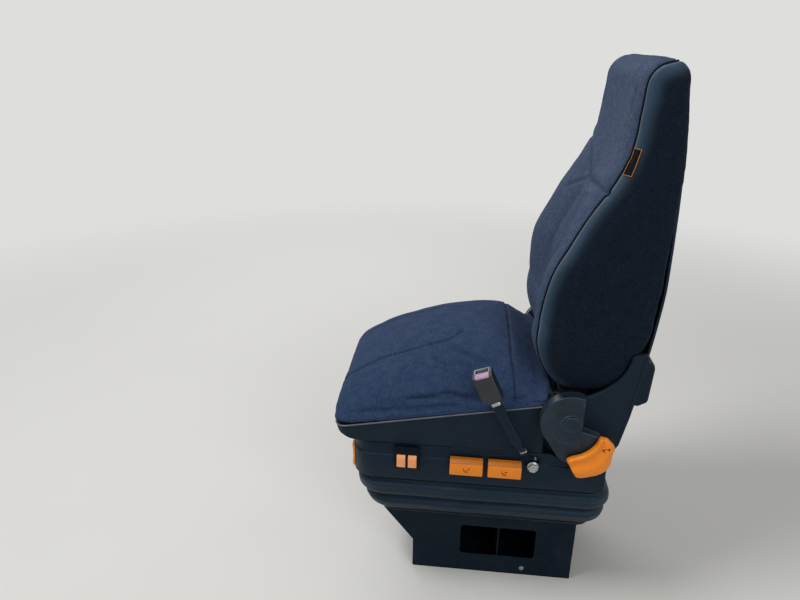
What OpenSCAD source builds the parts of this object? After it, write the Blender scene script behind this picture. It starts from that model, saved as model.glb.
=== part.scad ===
// Air-suspended driver's seat of a bus, on its sheet metal floor console.
// X runs across the seat, the driver faces -Y and Z is up, in millimetres.
// The origin is on the floor, at the centre of the console's bolt pattern.

/* [Console] */
// Width of the console across the seat
console_w = 330; // [290:1:350]
// Length of the console on the floor
console_l = 410; // [380:1:440]
// Height of the console
console_h = 190; // [160:1:260]
// Height of the upright part of the console's front
kick_h = 86; // [50:1:120]
// How far the top of the front leans out over the heels
kick_out = 81; // [40:1:90]
// Thickness of the console's sheet
sheet_t = 3; // [2:0.5:5]
// Length of the window in each side
window_l = 190; // [120:1:220]
// Height of the window in each side
window_h = 90; // [50:1:95]
// Corner radius of the window
window_r = 8; // [3:1:20]
// Width of the flanges that stand on the floor
flange_w = 46; // [36:1:60]
// Distance of the floor bolts from the console's sides
bolt_in = 25; // [22:1:30]
// Distance between the floor bolts along the seat
bolt_dy = 340; // [300:1:350]
// Diameter of the floor bolt holes
bolt_d = 11; // [7:0.5:13]

/* [Suspension] */
// Width of the lower suspension tray
low_w = 364; // [350:1:380]
// Height from the console to the top of the upper tray
lift_h = 140; // [125:1:180]
// Height of the trays' rims
rim_h = 16; // [10:1:24]
// Thickness of the trays
tray_t = 4; // [3:0.5:6]
// Wall of the rubber bellows
bellows_t = 4; // [2.5:0.5:6]
// How far the upper fold of the bellows stands out from its clamped rim
fold_out = 10; // [4:1:11]

/* [Slide] */
// Width of a lower rail
rail_w = 44; // [40:1:46]
// Length of the lower rails
rail_l = 444; // [420:1:446]
// Length of the upper rails
slider_l = 400; // [360:1:420]
// Wall of the rails
rail_t = 3; // [2:0.5:4]

/* [Seat frame] */
// Thickness of the side frames
side_t = 6; // [4:1:8]
// Radius of the tubes across the frame
tube_r = 11; // [8:1:14]
// Place of the backrest hinge behind the origin
hinge_y = 140; // [130:1:150]
// Height of the backrest hinge above the slide
hinge_h = 180; // [170:1:200]
// Radius of the hinge shaft
shaft_r = 12; // [9:1:14]
// Place of the belt bolt behind the origin
belt_y = 70; // [60:1:80]
// Height of the belt bolt above the slide
belt_h = 50; // [44:1:60]
// Radius of the hole of a belt anchor
anchor_r = 5.56; // [4:0.01:7]

/* [Housing] */
// Width of the side housing, which the other widths follow
housing_w = 484; // [440:1:520]
// Height of the side housing
housing_h = 94; // [80:1:96]
// Wall of the side housing
housing_t = 3; // [2:0.5:4]
// Front of the side housing, ahead of the origin
housing_front = 349; // [345:1:360]
// Length of one wide lever
lever_l = 75; // [60:1:84]
// Height of one wide lever
lever_h = 42; // [36:1:54]
// How far a wide lever stands out
lever_out = 21; // [14:1:26]

/* [Cushion] */
// How far the cushion stands out beyond the housing at each side
cushion_over = 8; // [4:1:10]
// Wall of the cushion pan
pan_t = 3; // [2:0.5:4]
// Rise of the padding above the pan at its highest place
crown_h = 127; // [100:1:128]
// Radius of the pan's front corners
corner_r = 30; // [20:1:70]

/* [Backrest] */
// Height of the backrest padding
back_h = 699; // [620:1:760]
// Depth of the hollow between the side bolsters
hollow = 58; // [20:1:64]
// Thickness of the rear shell
shell_t = 8; // [5:1:10]
// Radius of the round recliner covers
cover_r = 67; // [60:1:70]
// Thickness of the recliner covers
cover_t = 26; // [20:1:30]

/* [Belt buckle] */
// Width of the buckle
buckle_w = 44; // [36:1:50]
// Length of the buckle
buckle_l = 76; // [70:1:95]
// Thickness of the buckle
buckle_t = 26; // [22:1:28]
// Distance from the bolt to the foot of the buckle
stalk_l = 203; // [170:1:220]
// Lean of the stalk towards the front, in degrees
stalk_lean = 29; // [25:1:40]
// How much less the buckle leans than its stalk, in degrees
buckle_up = 4; // [0:1:10]
// Turn of the buckle about its length, in degrees
buckle_turn = 10; // [0:1:12]

/* [Hidden] */
$fn = 64;

gap = 0.3;              // clearance of a piece that only rests in its seat
fit = 0.05;             // radial clearance of a pin that turns in its bore
far = 1000;             // reach of a cut that goes right through

black_steel = "#1c1d20";
rubber_black = "#232427";
plastic_black = "#26272b";
fabric_dark = "#2b3140";
lever_orange = "#f59a28";
bare_zinc = "#b9bcc0";
button_rose = "#d7838f";

// Heights of the layers, from the floor up
low_z = console_h;
deck_z = console_h + lift_h;                 // top of the upper tray
rail_h = 18;
slide_z = deck_z + rail_h + 7;               // top of the upper rails
housing_z = deck_z + 5;
housing_top = housing_z + housing_h;
hinge_z = slide_z + hinge_h;
belt_z = slide_z + belt_h;

// Trays: front, rear and corner radius
low_front = -290;
low_rear = 235;
top_front = -325;
top_rear = 245;
tray_r = 40;

// Layers across the left side, from the middle out
top_w = housing_w - 36;                      // width of the upper tray
rail_dx = top_w - 48;
side_x = rail_dx / 2 + rail_w / 2 - 10;      // inner face of a side frame
arm_x = side_x + side_t + 5;                 // inner face of a backrest arm
arm_t = 6;
trim_x = arm_x + arm_t + gap;                // inner face of a backrest trim
trim_out = housing_w / 2 + 1;                // outer face of a backrest trim
cover_x = housing_w / 2 + 7;                 // inner face of a recliner cover

// Cushion: its widths, and its lines in Y and Z
cushion_w = housing_w + 2 * cushion_over;
pan_w = housing_w + 4;
pan_front = -386;
pan_rear = 88;
pan_floor = housing_top + 6.5;               // lower edge of the pan
pan_nose_z = pan_floor + 32;                 // where the pan's two edges meet in front
pan_slope = 0.19;                            // rise of the pan's upper edge to the rear
tilt_y = 72;
tilt_z = pan_floor + 19.5;
bar_z = pan_floor + 5;
bar_s = 20;                                  // side of a square bar
cross_h = 10;                                // height of the flat bars across
bar_x = side_x - 32;                         // inner face of a side bar of the tilt frame

function pan_top(y) = pan_nose_z + 1.5 + pan_slope * (y - pan_front);

// A body whose outline is drawn in Y and Z, from x0 to x1
module across(x0, x1) {
    translate([x0, 0, 0]) rotate([90, 0, 90]) linear_extrude(x1 - x0) children();
}

// A body whose outline is drawn in X and Z, of length l from y0
module along(y0, l) {
    translate([0, y0 + l, 0]) rotate([90, 0, 0]) linear_extrude(l) children();
}

// A round bar along X
module rod_x(x0, x1, r) {
    translate([x0, 0, 0]) rotate([0, 90, 0]) cylinder(h = x1 - x0, r = r);
}

// A rectangle with round corners about the origin
module round_rect(w, l, r) {
    square([w - 2 * r, l], center = true);
    square([w, l - 2 * r], center = true);
    for (x = [-1, 1], y = [-1, 1])
        translate([x * (w / 2 - r), y * (l / 2 - r)]) circle(r);
}

// A plan from y0 to y1 with round corners at its front only
module front_round(w, y0, y1, r) {
    translate([-w / 2, y0 + r]) square([w, y1 - y0 - r]);
    translate([-w / 2 + r, y0]) square([w - 2 * r, 2 * r]);
    for (x = [-1, 1]) translate([x * (w / 2 - r), y0 + r]) circle(r);
}

// Side walls between ring a and ring b of n points
function band(a, b, n) = [for (i = [0 : n - 1]) let (j = (i + 1) % n)
    each [[a * n + i, b * n + i, b * n + j], [a * n + i, b * n + j, a * n + j]]];

// A closed body through rings that are stacked towards the viewer
module loft(rings) {
    n = len(rings[0]);
    m = len(rings);
    polyhedron(
        points = [for (r = rings) each r],
        faces = concat(
            [[for (i = [0 : n - 1]) i]],
            [for (k = [0 : m - 2]) each band(k, k + 1, n)],
            [[for (i = [n - 1 : -1 : 0]) (m - 1) * n + i]]));
}

// A hollow ring-shaped body: outer rings upwards, then inner rings back down
module ring_loft(rings) {
    n = len(rings[0]);
    m = len(rings);
    polyhedron(
        points = [for (r = rings) each r],
        faces = [for (k = [0 : m - 1]) each band(k, (k + 1) % m, n)]);
}

// Console

// The console's side outline, inset by t
module console_outline(t) {
    half = console_l / 2;
    rise = console_h - kick_h;
    lean = t * sqrt(rise * rise + kick_out * kick_out) / rise;
    polygon([
        [-half + t, t > 0 ? -1 : 0],
        [half - t, t > 0 ? -1 : 0],
        [half - t, console_h - t],
        [-half - kick_out * (rise - t) / rise + lean, console_h - t],
        [-half + t, kick_h + (lean - t) * rise / kick_out]]);
}

window_y = 13;
window_z = console_h * 0.53;

module console() {
    color(black_steel) {
        difference() {
            across(-console_w / 2, console_w / 2) console_outline(0);
            across(-console_w / 2 + sheet_t, console_w / 2 - sheet_t) console_outline(sheet_t);
            across(-far, far) translate([window_y, window_z])
                round_rect(window_l, window_h, window_r);
        }
        difference() {
            for (x = [-1, 1])
                translate([x * (console_w - flange_w) / 2, 0, sheet_t / 2])
                    cube([flange_w, console_l - 30, sheet_t], center = true);
            for (x = [-1, 1], y = [-1, 1])
                translate([x * (console_w / 2 - bolt_in), y * bolt_dy / 2, -1])
                    cylinder(h = sheet_t + 2, d = bolt_d);
        }
    }
}

web_hole_r = 22;

module console_web() {
    color(black_steel) difference() {
        translate([-console_w / 2 + sheet_t, window_y, sheet_t])
            cube([console_w - 2 * sheet_t, sheet_t, console_h - 2 * sheet_t]);
        translate([0, window_y - 1, window_z]) rotate([-90, 0, 0])
            cylinder(h = sheet_t + 2, r = web_hole_r);
    }
}

// Suspension

module tray_plan(w, y0, y1, t) {
    translate([0, (y0 + y1) / 2]) round_rect(w - 2 * t, y1 - y0 - 2 * t, tray_r - t);
}

module lower_tray() {
    color(black_steel) translate([0, 0, low_z]) difference() {
        linear_extrude(rim_h) tray_plan(low_w, low_front, low_rear, 0);
        translate([0, 0, tray_t]) linear_extrude(rim_h)
            tray_plan(low_w, low_front, low_rear, tray_t);
    }
}

module upper_tray() {
    color(black_steel) translate([0, 0, deck_z - rim_h]) difference() {
        linear_extrude(rim_h) tray_plan(top_w, top_front, top_rear, 0);
        translate([0, 0, -tray_t]) linear_extrude(rim_h)
            tray_plan(top_w, top_front, top_rear, tray_t);
    }
}

core_w = low_w - 64;
core_front = low_front + 60;
core_rear = low_rear - 45;

module suspension_core() {
    color(black_steel) translate([-core_w / 2, core_front, low_z + tray_t])
        cube([core_w, core_rear - core_front, lift_h - 2 * tray_t]);
}

// One ring of the bellows, a rounded rectangle of half width hx from y0 to y1
function bellows_ring(hx, y0, y1, r, z) = [for (c = [0 : 3]) for (i = [0 : 10])
    let (a = c * 90 + i * 9,
         cx = (c == 0 || c == 3 ? 1 : -1) * (hx - r),
         cy = c < 2 ? y1 - r : y0 + r)
    [cx + r * cos(a), cy + r * sin(a), z]];

// The bellows' folds: share of the way up, share from the lower rim to the upper rim,
// and how far the rubber stands out there
bellows_rows = [
    [0.00, 0.00, 0.0],
    [0.07, 0.00, 0.0],
    [0.14, 0.10, 1.0],
    [0.26, 0.25, 1.9],
    [0.37, 0.38, 1.9],
    [0.46, 0.46, 1.2],
    [0.52, 0.50, 0.2],
    [0.58, 0.58, 1.2],
    [0.68, 0.74, 1.9],
    [0.79, 0.88, 1.6],
    [0.89, 1.00, 1.0],
    [0.95, 1.00, 0.0],
    [1.00, 1.00, 0.0]];
bellows_z0 = low_z + 6;
bellows_z1 = deck_z - 1;

// The ring of one row, inset by t
function bellows_row(row, t) =
    let (s = row[1],
         out = row[2] * fold_out + gap + bellows_t - t)
    bellows_ring(low_w / 2 + s * (top_w - low_w) / 2 + out,
                 low_front + s * (top_front - low_front) - out,
                 low_rear + s * (top_rear - low_rear) + out,
                 tray_r + out,
                 bellows_z0 + row[0] * (bellows_z1 - bellows_z0));

module bellows() {
    last = len(bellows_rows) - 1;
    color(rubber_black) ring_loft(concat(
        [for (row = bellows_rows) bellows_row(row, 0)],
        [for (k = [last : -1 : 0]) bellows_row(bellows_rows[k], bellows_t)]));
}

// Slide rails

rail_slot = 20;
neck_w = 12;
head_w = rail_w - 2 * rail_t - 4;

module lower_rails() {
    color(bare_zinc) for (x = [-1, 1])
        translate([x * rail_dx / 2, 0, deck_z]) difference() {
            translate([-rail_w / 2, -rail_l / 2, 0]) cube([rail_w, rail_l, rail_h]);
            translate([-rail_w / 2 + rail_t, -rail_l / 2 - 1, rail_t])
                cube([rail_w - 2 * rail_t, rail_l + 2, rail_h - 2 * rail_t]);
            translate([-rail_slot / 2, -rail_l / 2 - 1, rail_t])
                cube([rail_slot, rail_l + 2, rail_h]);
        }
}

module upper_rails() {
    color(bare_zinc) for (x = [-1, 1])
        translate([x * rail_dx / 2, -slider_l / 2, deck_z]) {
            translate([-head_w / 2, 0, rail_t + gap])
                cube([head_w, slider_l, rail_h - 2 * rail_t - 2 * gap]);
            translate([-neck_w / 2, 0, rail_t + gap]) cube([neck_w, slider_l, rail_h]);
            translate([-rail_w / 2 + 4, 0, rail_h + 2]) cube([rail_w - 8, slider_l, 5]);
        }
}

// Side frames, with the upright that carries the hinge

lug_r = 13;
pin_r = 5;
belt_pin_r = 6;
boss_r = 14;
hub_r = 29;
frame_front = -slider_l / 2;
frame_rear = slider_l / 2 + 30;

module side_outline() {
    translate([frame_front, slide_z]) square([frame_rear - frame_front, 38]);
    polygon([[hinge_y - 44, slide_z + 38], [hinge_y + 56, slide_z + 38],
             [hinge_y + hub_r, hinge_z], [hinge_y - hub_r, hinge_z]]);
    translate([hinge_y, hinge_z]) circle(hub_r);
    translate([tilt_y - lug_r, slide_z + 30]) square([2 * lug_r, tilt_z - slide_z - 30]);
    translate([tilt_y, tilt_z]) circle(lug_r);
    translate([belt_y, belt_z]) circle(boss_r);
}

module side_frame(side) {
    color(black_steel) difference() {
        across(side > 0 ? side_x : -side_x - side_t, side > 0 ? side_x + side_t : -side_x)
            difference() {
                side_outline();
                translate([tilt_y, tilt_z]) circle(pin_r + fit);
                translate([hinge_y, hinge_z]) circle(shaft_r + fit);
                translate([belt_y, belt_z]) circle(belt_pin_r + fit);
            }
    }
}

module side_frame_left() side_frame(1);

module side_frame_right() side_frame(-1);

front_tube_y = -180;
rear_tube_y = 205;
tube_z = slide_z + 19;
rest_x = 60;
rest_w = 24;

module cross_tubes() {
    color(black_steel) {
        for (y = [front_tube_y, rear_tube_y])
            translate([0, y, tube_z]) rod_x(-side_x, side_x, tube_r);
        for (x = [-rest_x, rest_x])
            translate([x - rest_w / 2, front_tube_y - tube_r, tube_z])
                cube([rest_w, 2 * tube_r, bar_z - gap - tube_z]);
    }
}

// Side housing, open to the rear, with its bosses on the side frames

housing_r = 52;
housing_rear = 235;
housing_lip = 20;
ramp_y = 108;
ramp_l = 52;
ramp_drop = 28;
boss_rows = [[-150, slide_z + 18], [-20, slide_z + 18], [205, slide_z + 18]];

module housing() {
    color(plastic_black) difference() {
        union() {
            translate([0, 0, housing_z]) difference() {
                linear_extrude(housing_h)
                    front_round(housing_w, -housing_front, housing_rear, housing_r);
                translate([0, 0, -1]) linear_extrude(housing_h + 2)
                    front_round(housing_w - 2 * housing_t, -housing_front + housing_t,
                                housing_rear + 1, housing_r - housing_t);
            }
            translate([0, 0, housing_top - housing_t]) linear_extrude(housing_t) difference() {
                front_round(housing_w, -housing_front, housing_rear, housing_r);
                front_round(housing_w - 2 * housing_lip, -housing_front + housing_lip,
                            housing_rear + 1, housing_r - housing_lip);
            }
            for (s = [-1, 1], b = boss_rows) translate([0, b[0], b[1]])
                rod_x(s > 0 ? side_x + side_t : -housing_w / 2 + 1,
                      s > 0 ? housing_w / 2 - 1 : -side_x - side_t, 6);
        }
        across(-far, far) polygon([
            [ramp_y, housing_top + 1], [ramp_y + ramp_l, housing_top - ramp_drop],
            [housing_rear + 1, housing_top - ramp_drop], [housing_rear + 1, housing_top + 1]]);
        translate([0, belt_y, belt_z]) rod_x(-far, far, boss_r + 1);
    }
}

bar_out = 5;            // how far the slide bar stands out in front
bar_h = 55;
bar_z0 = housing_top - 89;
bar_end = housing_w / 2 - 30;

module slide_bar() {
    color(lever_orange) translate([0, 0, bar_z0]) linear_extrude(bar_h)
        difference() {
            front_round(housing_w + 2 * bar_out, -housing_front - bar_out, 0,
                        housing_r + bar_out);
            front_round(housing_w + 2 * gap, -housing_front - gap, 1, housing_r + gap);
            for (s = [-1, 1]) translate([s * (far / 2 + bar_end), 0]) square(far, center = true);
        }
}

switch_l = 20;
switch_pitch = 26;
switch_h = 33;
switch_y = -217;
switch_z = housing_top - 54;
bezel_side = 5;         // bezel beside the switches
bezel_t = 8;

module switch_bezel() {
    color(plastic_black) difference() {
        translate([housing_w / 2, switch_y - (switch_pitch + switch_l) / 2 - bezel_side,
                   switch_z - bezel_side])
            cube([bezel_t, switch_pitch + switch_l + 2 * bezel_side,
                  housing_top - switch_z + bezel_side]);
        for (s = [-1, 1])
            translate([housing_w / 2 - 1, switch_y + (s * switch_pitch - switch_l) / 2 - gap,
                       switch_z - gap])
                cube([bezel_t + 2, switch_l + 2 * gap, switch_h + 2 * gap]);
    }
}

module air_switches() {
    color(lever_orange) for (s = [-1, 1])
        along(switch_y + (s * switch_pitch - switch_l) / 2, switch_l)
            translate([housing_w / 2 + gap, switch_z]) polygon([
                [0, 0], [bezel_t + 2, 0], [bezel_t + 5, 3], [bezel_t + 5, switch_h - 8],
                [bezel_t, switch_h], [0, switch_h]]);
}

// A wide lever in profile: a low front face and a sloped top
module wide_lever(y0) {
    color(lever_orange) along(y0, lever_l)
        translate([housing_w / 2 + gap, lever_top - lever_h]) polygon([
            [0, 6], [6, 0], [lever_out - 2, 0], [lever_out, 2],
            [lever_out, lever_h - 15], [lever_out - 9, lever_h - 2],
            [lever_out - 11, lever_h], [0, lever_h]]);
}

lever_gap = 12;
lever_y = -42;          // rear end of the front one
lever_top = housing_top - 19;

module tilt_lever() wide_lever(lever_y - lever_l);

module depth_lever() wide_lever(lever_y + lever_gap);

// Belt bolt with its spacer, and the threaded anchor on the other side

eye_x = housing_w / 2 + 6;
eye_t = 4;
spacer_r = 11;
head_af = 19;

module belt_bolt() {
    color(bare_zinc) translate([0, belt_y, belt_z]) {
        rod_x(side_x - 8, eye_x + eye_t + 2, belt_pin_r);
        rod_x(side_x + side_t, eye_x - 1, spacer_r);
        rod_x(eye_x + eye_t + 1.5, eye_x + eye_t + 4, 13);
        translate([eye_x + eye_t + 4, 0, 0]) rotate([0, 90, 0])
            cylinder(h = 8, r = head_af / 2 / cos(30), $fn = 6);
    }
}

module belt_anchor() {
    color(bare_zinc) translate([0, belt_y, belt_z]) difference() {
        union() {
            rod_x(-housing_w / 2 - 1, -side_x - side_t, spacer_r);
            rod_x(-side_x - side_t, -side_x + 4, belt_pin_r);
        }
        rod_x(-housing_w / 2 - 2, -side_x - side_t, anchor_r);
    }
}

// Recliner: shaft, round covers and the curved lever

module recliner_shaft() {
    color(bare_zinc) translate([0, hinge_y, hinge_z]) rod_x(-cover_x, cover_x, shaft_r);
}

split = 24;             // how far behind the hinge the round cover is cut off
skirt = [[-62, -25], [-20, -92], [10, -108], [62, -120], [84, -60], [split + 40, -30], [split, -18]];

module cover_outline(t) {
    difference() {
        circle(cover_r - t);
        translate([split - t, -far / 2]) square([far, far]);
    }
}

module recliner_cover(side) {
    color(plastic_black) translate([0, hinge_y, hinge_z]) {
        difference() {
            across(side > 0 ? cover_x : -cover_x - cover_t,
                   side > 0 ? cover_x + cover_t : -cover_x) {
                cover_outline(0);
                if (side > 0) polygon(skirt);
            }
            across(side > 0 ? cover_x - 1 : -cover_x - cover_t + 3,
                   side > 0 ? cover_x + cover_t - 3 : -cover_x + 1) cover_outline(3);
        }
        rod_x(side > 0 ? cover_x : -cover_x - cover_t + 2,
              side > 0 ? cover_x + cover_t - 2 : -cover_x, shaft_r + 4);
        rod_x(side > 0 ? cover_x + cover_t : -cover_x - cover_t - 3,
              side > 0 ? cover_x + cover_t + 3 : -cover_x - cover_t, 18);
    }
}

module recliner_cover_left() recliner_cover(1);

module recliner_cover_right() recliner_cover(-1);

grip_in = 87;           // inner radius of the curved lever about the hinge
grip_c = [42.5, -76];   // centre of its outer edge, from the hinge
grip_out = 57;          // radius of its outer edge
grip_t = 18;

module recline_lever() {
    color(lever_orange) translate([0, hinge_y, hinge_z])
        across(cover_x + cover_t, cover_x + cover_t + grip_t) polygon(concat(
            [for (a = [-93 : 6 : -21]) grip_in * [cos(a), sin(a)]],
            [for (a = [14 : -6 : -112]) grip_c + grip_out * [cos(a), sin(a)]]));
}

// Belt buckle on its stalk

stalk_w = 18;
stalk_t = 6;
kink = 26;              // how far the stalk is cranked out from its eye

// Places what follows with its foot at the bolt and its length along the stalk
module along_stalk() {
    translate([0, belt_y, belt_z]) rotate([stalk_lean, 0, 0]) children();
}

// Places what follows with the middle of the buckle's foot at the origin
module along_buckle() {
    along_stalk() translate([buckle_x, 0, stalk_l])
        rotate([-buckle_up, 0, 0]) rotate([0, 0, -buckle_turn]) children();
}

module buckle_stalk() {
    color(black_steel) difference() {
        along_stalk() difference() {
            union() {
                along(-stalk_w / 2, stalk_w) polygon([
                    [eye_x, 0], [eye_x + eye_t, 0], [eye_x + eye_t, 24],
                    [eye_x + eye_t + kink, 70], [eye_x + eye_t + kink, stalk_l + 2],
                    [eye_x + eye_t + kink - stalk_t, stalk_l + 2],
                    [eye_x + eye_t + kink - stalk_t, 72], [eye_x, 26]]);
                rod_x(eye_x, eye_x + eye_t, boss_r);
            }
            rod_x(eye_x - 1, eye_x + eye_t + 1, belt_pin_r + fit);
        }
        along_buckle() translate([-stalk_w, -stalk_w, 0])
            cube(2 * stalk_w);                          // its end, cut to the buckle's foot
    }
}

buckle_x = eye_x + eye_t + kink - stalk_t / 2;
slot_w = buckle_w - 12;
slot_t = 6;
slot_l = 36;
slot_in = 4;            // wall behind the slot
button_l = 14;

module buckle_body() {
    color(plastic_black) along_buckle() difference() {
        translate([-buckle_t / 2, 0, buckle_l / 2]) rotate([0, 90, 0])
            linear_extrude(buckle_t) round_rect(buckle_l, buckle_w, 6);
        translate([-buckle_t / 2 + slot_in, -slot_w / 2, buckle_l - slot_l])
            cube([slot_t, slot_w, slot_l + 1]);
        translate([-buckle_t / 2 + slot_in + slot_t, -slot_w / 2 - gap, buckle_l - button_l])
            cube([far, slot_w + 2 * gap, button_l + 1]);
    }
}

module buckle_button() {
    color(button_rose) along_buckle()
        translate([-buckle_t / 2 + slot_in + slot_t + gap, -slot_w / 2,
                   buckle_l - button_l + gap])
            cube([buckle_t - slot_in - slot_t - gap, slot_w, button_l + 1]);
}

// Tilt frame under the cushion

bar_front = -290;

module tilt_frame() {
    color(black_steel) {
        for (s = [-1, 1]) {
            translate([s > 0 ? bar_x : -bar_x - bar_s, bar_front, bar_z])
                cube([bar_s, tilt_y + lug_r - bar_front, bar_s]);
            translate([0, tilt_y, tilt_z])
                rod_x(s > 0 ? bar_x + bar_s : -side_x - side_t - 1,
                      s > 0 ? side_x + side_t + 1 : -bar_x - bar_s, pin_r);
        }
        for (y = [bar_front + 12, front_tube_y - 9, 40])
            translate([-bar_x, y, bar_z]) cube([2 * bar_x, bar_s - 2, cross_h]);
    }
}

// Cushion pan and padding

module pan_side(t, z0) {
    polygon([
        [pan_front + 2 * t, pan_nose_z], [pan_front + 9 + t, pan_floor + 17 + t / 2],
        [pan_front + 34 + t, pan_floor + 4 + t / 2], [pan_front + 56, pan_floor - z0],
        [pan_rear + t, pan_floor - z0], [pan_rear + t, pan_top(pan_rear) - t],
        [pan_front + 7 + 2 * t, pan_top(pan_front + 7) - t]]);
}

guide_front = bar_front + 70;
guide_rear = guide_front + 250;

module pan_plan(t) {
    linear_extrude(far) front_round(pan_w - 2 * t, pan_front - 1 + t, pan_rear + 2, corner_r - t);
}

module cushion_pan() {
    color(plastic_black) {
        difference() {
            intersection() {
                across(-pan_w / 2, pan_w / 2) pan_side(0, 0);
                pan_plan(0);
            }
            intersection() {
                across(-pan_w / 2 + pan_t, pan_w / 2 - pan_t) pan_side(pan_t, 1);
                pan_plan(pan_t);
            }
        }
        // Two guides each side that run along the bars of the tilt frame
        for (s = [-1, 1], e = [bar_x - 4 - gap, bar_x + bar_s + gap])
            across(s > 0 ? e : -e - 4, s > 0 ? e + 4 : -e) polygon([
                [guide_front, bar_z + cross_h + 2], [guide_rear, bar_z + cross_h + 2],
                [guide_rear, pan_top(guide_rear) - 1], [guide_front, pan_top(guide_front) - 1]]);
    }
}

// The cushion along its length: place, padding above the pan as a share of crown_h,
// and how much narrower than the widest place each side is
cushion_rows = [
    [-394, 0.16, 40],
    [-391, 0.29, 27],
    [-384, 0.40, 17],
    [-371, 0.50, 10],
    [-346, 0.61, 5],
    [-318, 0.71, 3],
    [-290, 0.80, 2],
    [-230, 0.91, 1],
    [-165, 0.98, 0],
    [-120, 1.00, 0],
    [-62, 0.975, 0],
    [-20, 0.90, 0],
    [5, 0.80, 0],
    [20, 0.69, 1],
    [35, 0.47, 2],
    [53, 0.28, 4],
    [75, 0.13, 8],
    [86, 0.05, 14]];

function bend(c, e) = sign(c) * pow(abs(c), 2 / e);

// One slice of the cushion: flat below, widest low down, domed over the shoulders
function cushion_ring(row) =
    let (y = row[0],
         z0 = pan_top(max(y, pan_front + 7)) + gap,
         h = row[1] * crown_h,
         hw = cushion_w / 2 - row[2],
         zm = z0 + 0.2 * h)
    [for (i = [0 : 35]) let (a = i * 10)
        [-hw * bend(cos(a), a <= 180 ? 3 : 3.4), y,
         a <= 180 ? zm + (z0 + h - zm) * bend(sin(a), 1.5)
                  : zm + (zm - z0) * bend(sin(a), 4)]];

module cushion_pad() {
    color(fabric_dark) loft([for (row = cushion_rows) cushion_ring(row)]);
}

// Backrest frame: arms on the hinge and the plate under the padding

back_w = housing_w + 2;
base_z = hinge_z + 36.7;
base_front = hinge_y - 20;
base_rear = 258;
plate_t = 6;

module back_frame() {
    color(black_steel) {
        for (s = [-1, 1])
            across(s > 0 ? arm_x : -arm_x - arm_t, s > 0 ? arm_x + arm_t : -arm_x) difference() {
                union() {
                    translate([hinge_y, hinge_z]) circle(hub_r + 3);
                    polygon([[hinge_y - 20, hinge_z + 10], [hinge_y + 32, hinge_z],
                             [hinge_y + 80, base_z + 1], [hinge_y - 20, base_z + 1]]);
                }
                translate([hinge_y, hinge_z]) circle(shaft_r + fit);
            }
        translate([-arm_x - arm_t, base_front, base_z])
            cube([2 * (arm_x + arm_t), base_rear - base_front, plate_t]);
    }
}

// Outline of a backrest trim from the hinge, without its round hub
trim_points = [
    [-24, 24], [40, 40], [60, 42], [77, 55], [97, 76], [110, 99], [126, 128], [144, 158],
    [147, 128], [136, 70], [126, 5], [112, -66], [104, -78], [95, -80], [77, -52],
    [50, -58], [-24, -24]];

module back_trim(side) {
    x0 = side > 0 ? trim_x : -trim_out;
    x1 = side > 0 ? trim_out : -trim_x;
    color(plastic_black) translate([0, hinge_y, hinge_z]) difference() {
        union() {
            rod_x(x0, x1, 42);
            across(x0, x1) polygon(trim_points);
        }
        rod_x(x0 - 1, x1 + 1, shaft_r + 2);
    }
}

module back_trim_left() back_trim(1);

module back_trim_right() back_trim(-1);

pad_foot = base_z + plate_t + gap - hinge_z;   // foot of the padding, from the hinge

// The rear shell from its lower edge up: share of the padding's height, place behind
// the hinge, and how much narrower than the padding each side is
shell_rows = [
    [-0.054, 126, 14],
    [0.120, 147, 14],
    [0.223, 161, 27],
    [0.385, 169, 31],
    [0.565, 168, 37],
    [0.678, 166, 43],
    [0.760, 162, 49],
    [0.864, 155, 58],
    [0.911, 152, 68]];

function pad_z(share) = pad_foot + share * back_h;

shell_line = [for (r = shell_rows) [pad_z(r[0]), r[1]]];

module back_shell() {
    color(plastic_black) translate([0, hinge_y, hinge_z]) loft([for (r = shell_rows)
        let (x = back_w / 2 - r[2], z = pad_z(r[0])) [
            [x, r[1] - shell_t, z], [x, r[1], z], [-x, r[1], z], [-x, r[1] - shell_t, z]]]);
}

box_w = back_w - 106;
box_out = 44;
box_low = 10;
box_high = 115;

function behind_shell(z) = lookup(z, shell_line) + gap;

module rear_cover() {
    mid = box_low + (box_high - box_low) / 2;
    color(plastic_black) translate([0, hinge_y, hinge_z])
        across(-box_w / 2, box_w / 2) polygon([
            [behind_shell(box_low), box_low], [behind_shell(box_high), box_high],
            [behind_shell(box_high) + box_out - 12, box_high - 3],
            [behind_shell(mid) + box_out, box_high - 17],
            [behind_shell(mid) + box_out - 4, box_low + 6],
            [behind_shell(box_low) + box_out - 16, box_low - 6]]);
}

// The padding from its foot up: share of its height, front line from the hinge, how far
// its rear stays ahead of the shell, how much narrower it is each side, and its hollow
back_rows = [
    [0.000, -20, 70, 42, 0.00],
    [0.020, -42, 54, 24, 0.05],
    [0.048, -60, 38, 12, 0.15],
    [0.081, -74, 29, 5, 0.30],
    [0.119, -83, 20, 2, 0.50],
    [0.173, -90, 6, 0, 0.75],
    [0.221, -86, 0, 0, 0.92],
    [0.300, -83, 0, 0, 1.00],
    [0.380, -74, 0, 1, 0.95],
    [0.470, -44, 0, 3, 0.78],
    [0.559, -15, 0, 5, 0.55],
    [0.615, 9, 0, 7, 0.36],
    [0.670, 31, 0, 10, 0.24],
    [0.751, 54, 0, 14, 0.14],
    [0.809, 60, 0, 18, 0.14],
    [0.854, 62, 0, 22, 0.16],
    [0.912, 64, 0, 28, 0.16],
    [0.914, 64, -13, 28, 0.16],
    [0.940, 65, -14, 31, 0.14],
    [0.958, 68, -12, 37, 0.12],
    [0.976, 75, -7, 46, 0.08],
    [0.990, 88, 6, 60, 0.04],
    [0.998, 104, 24, 82, 0.00],
    [1.000, 116, 40, 100, 0.00]];

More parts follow.
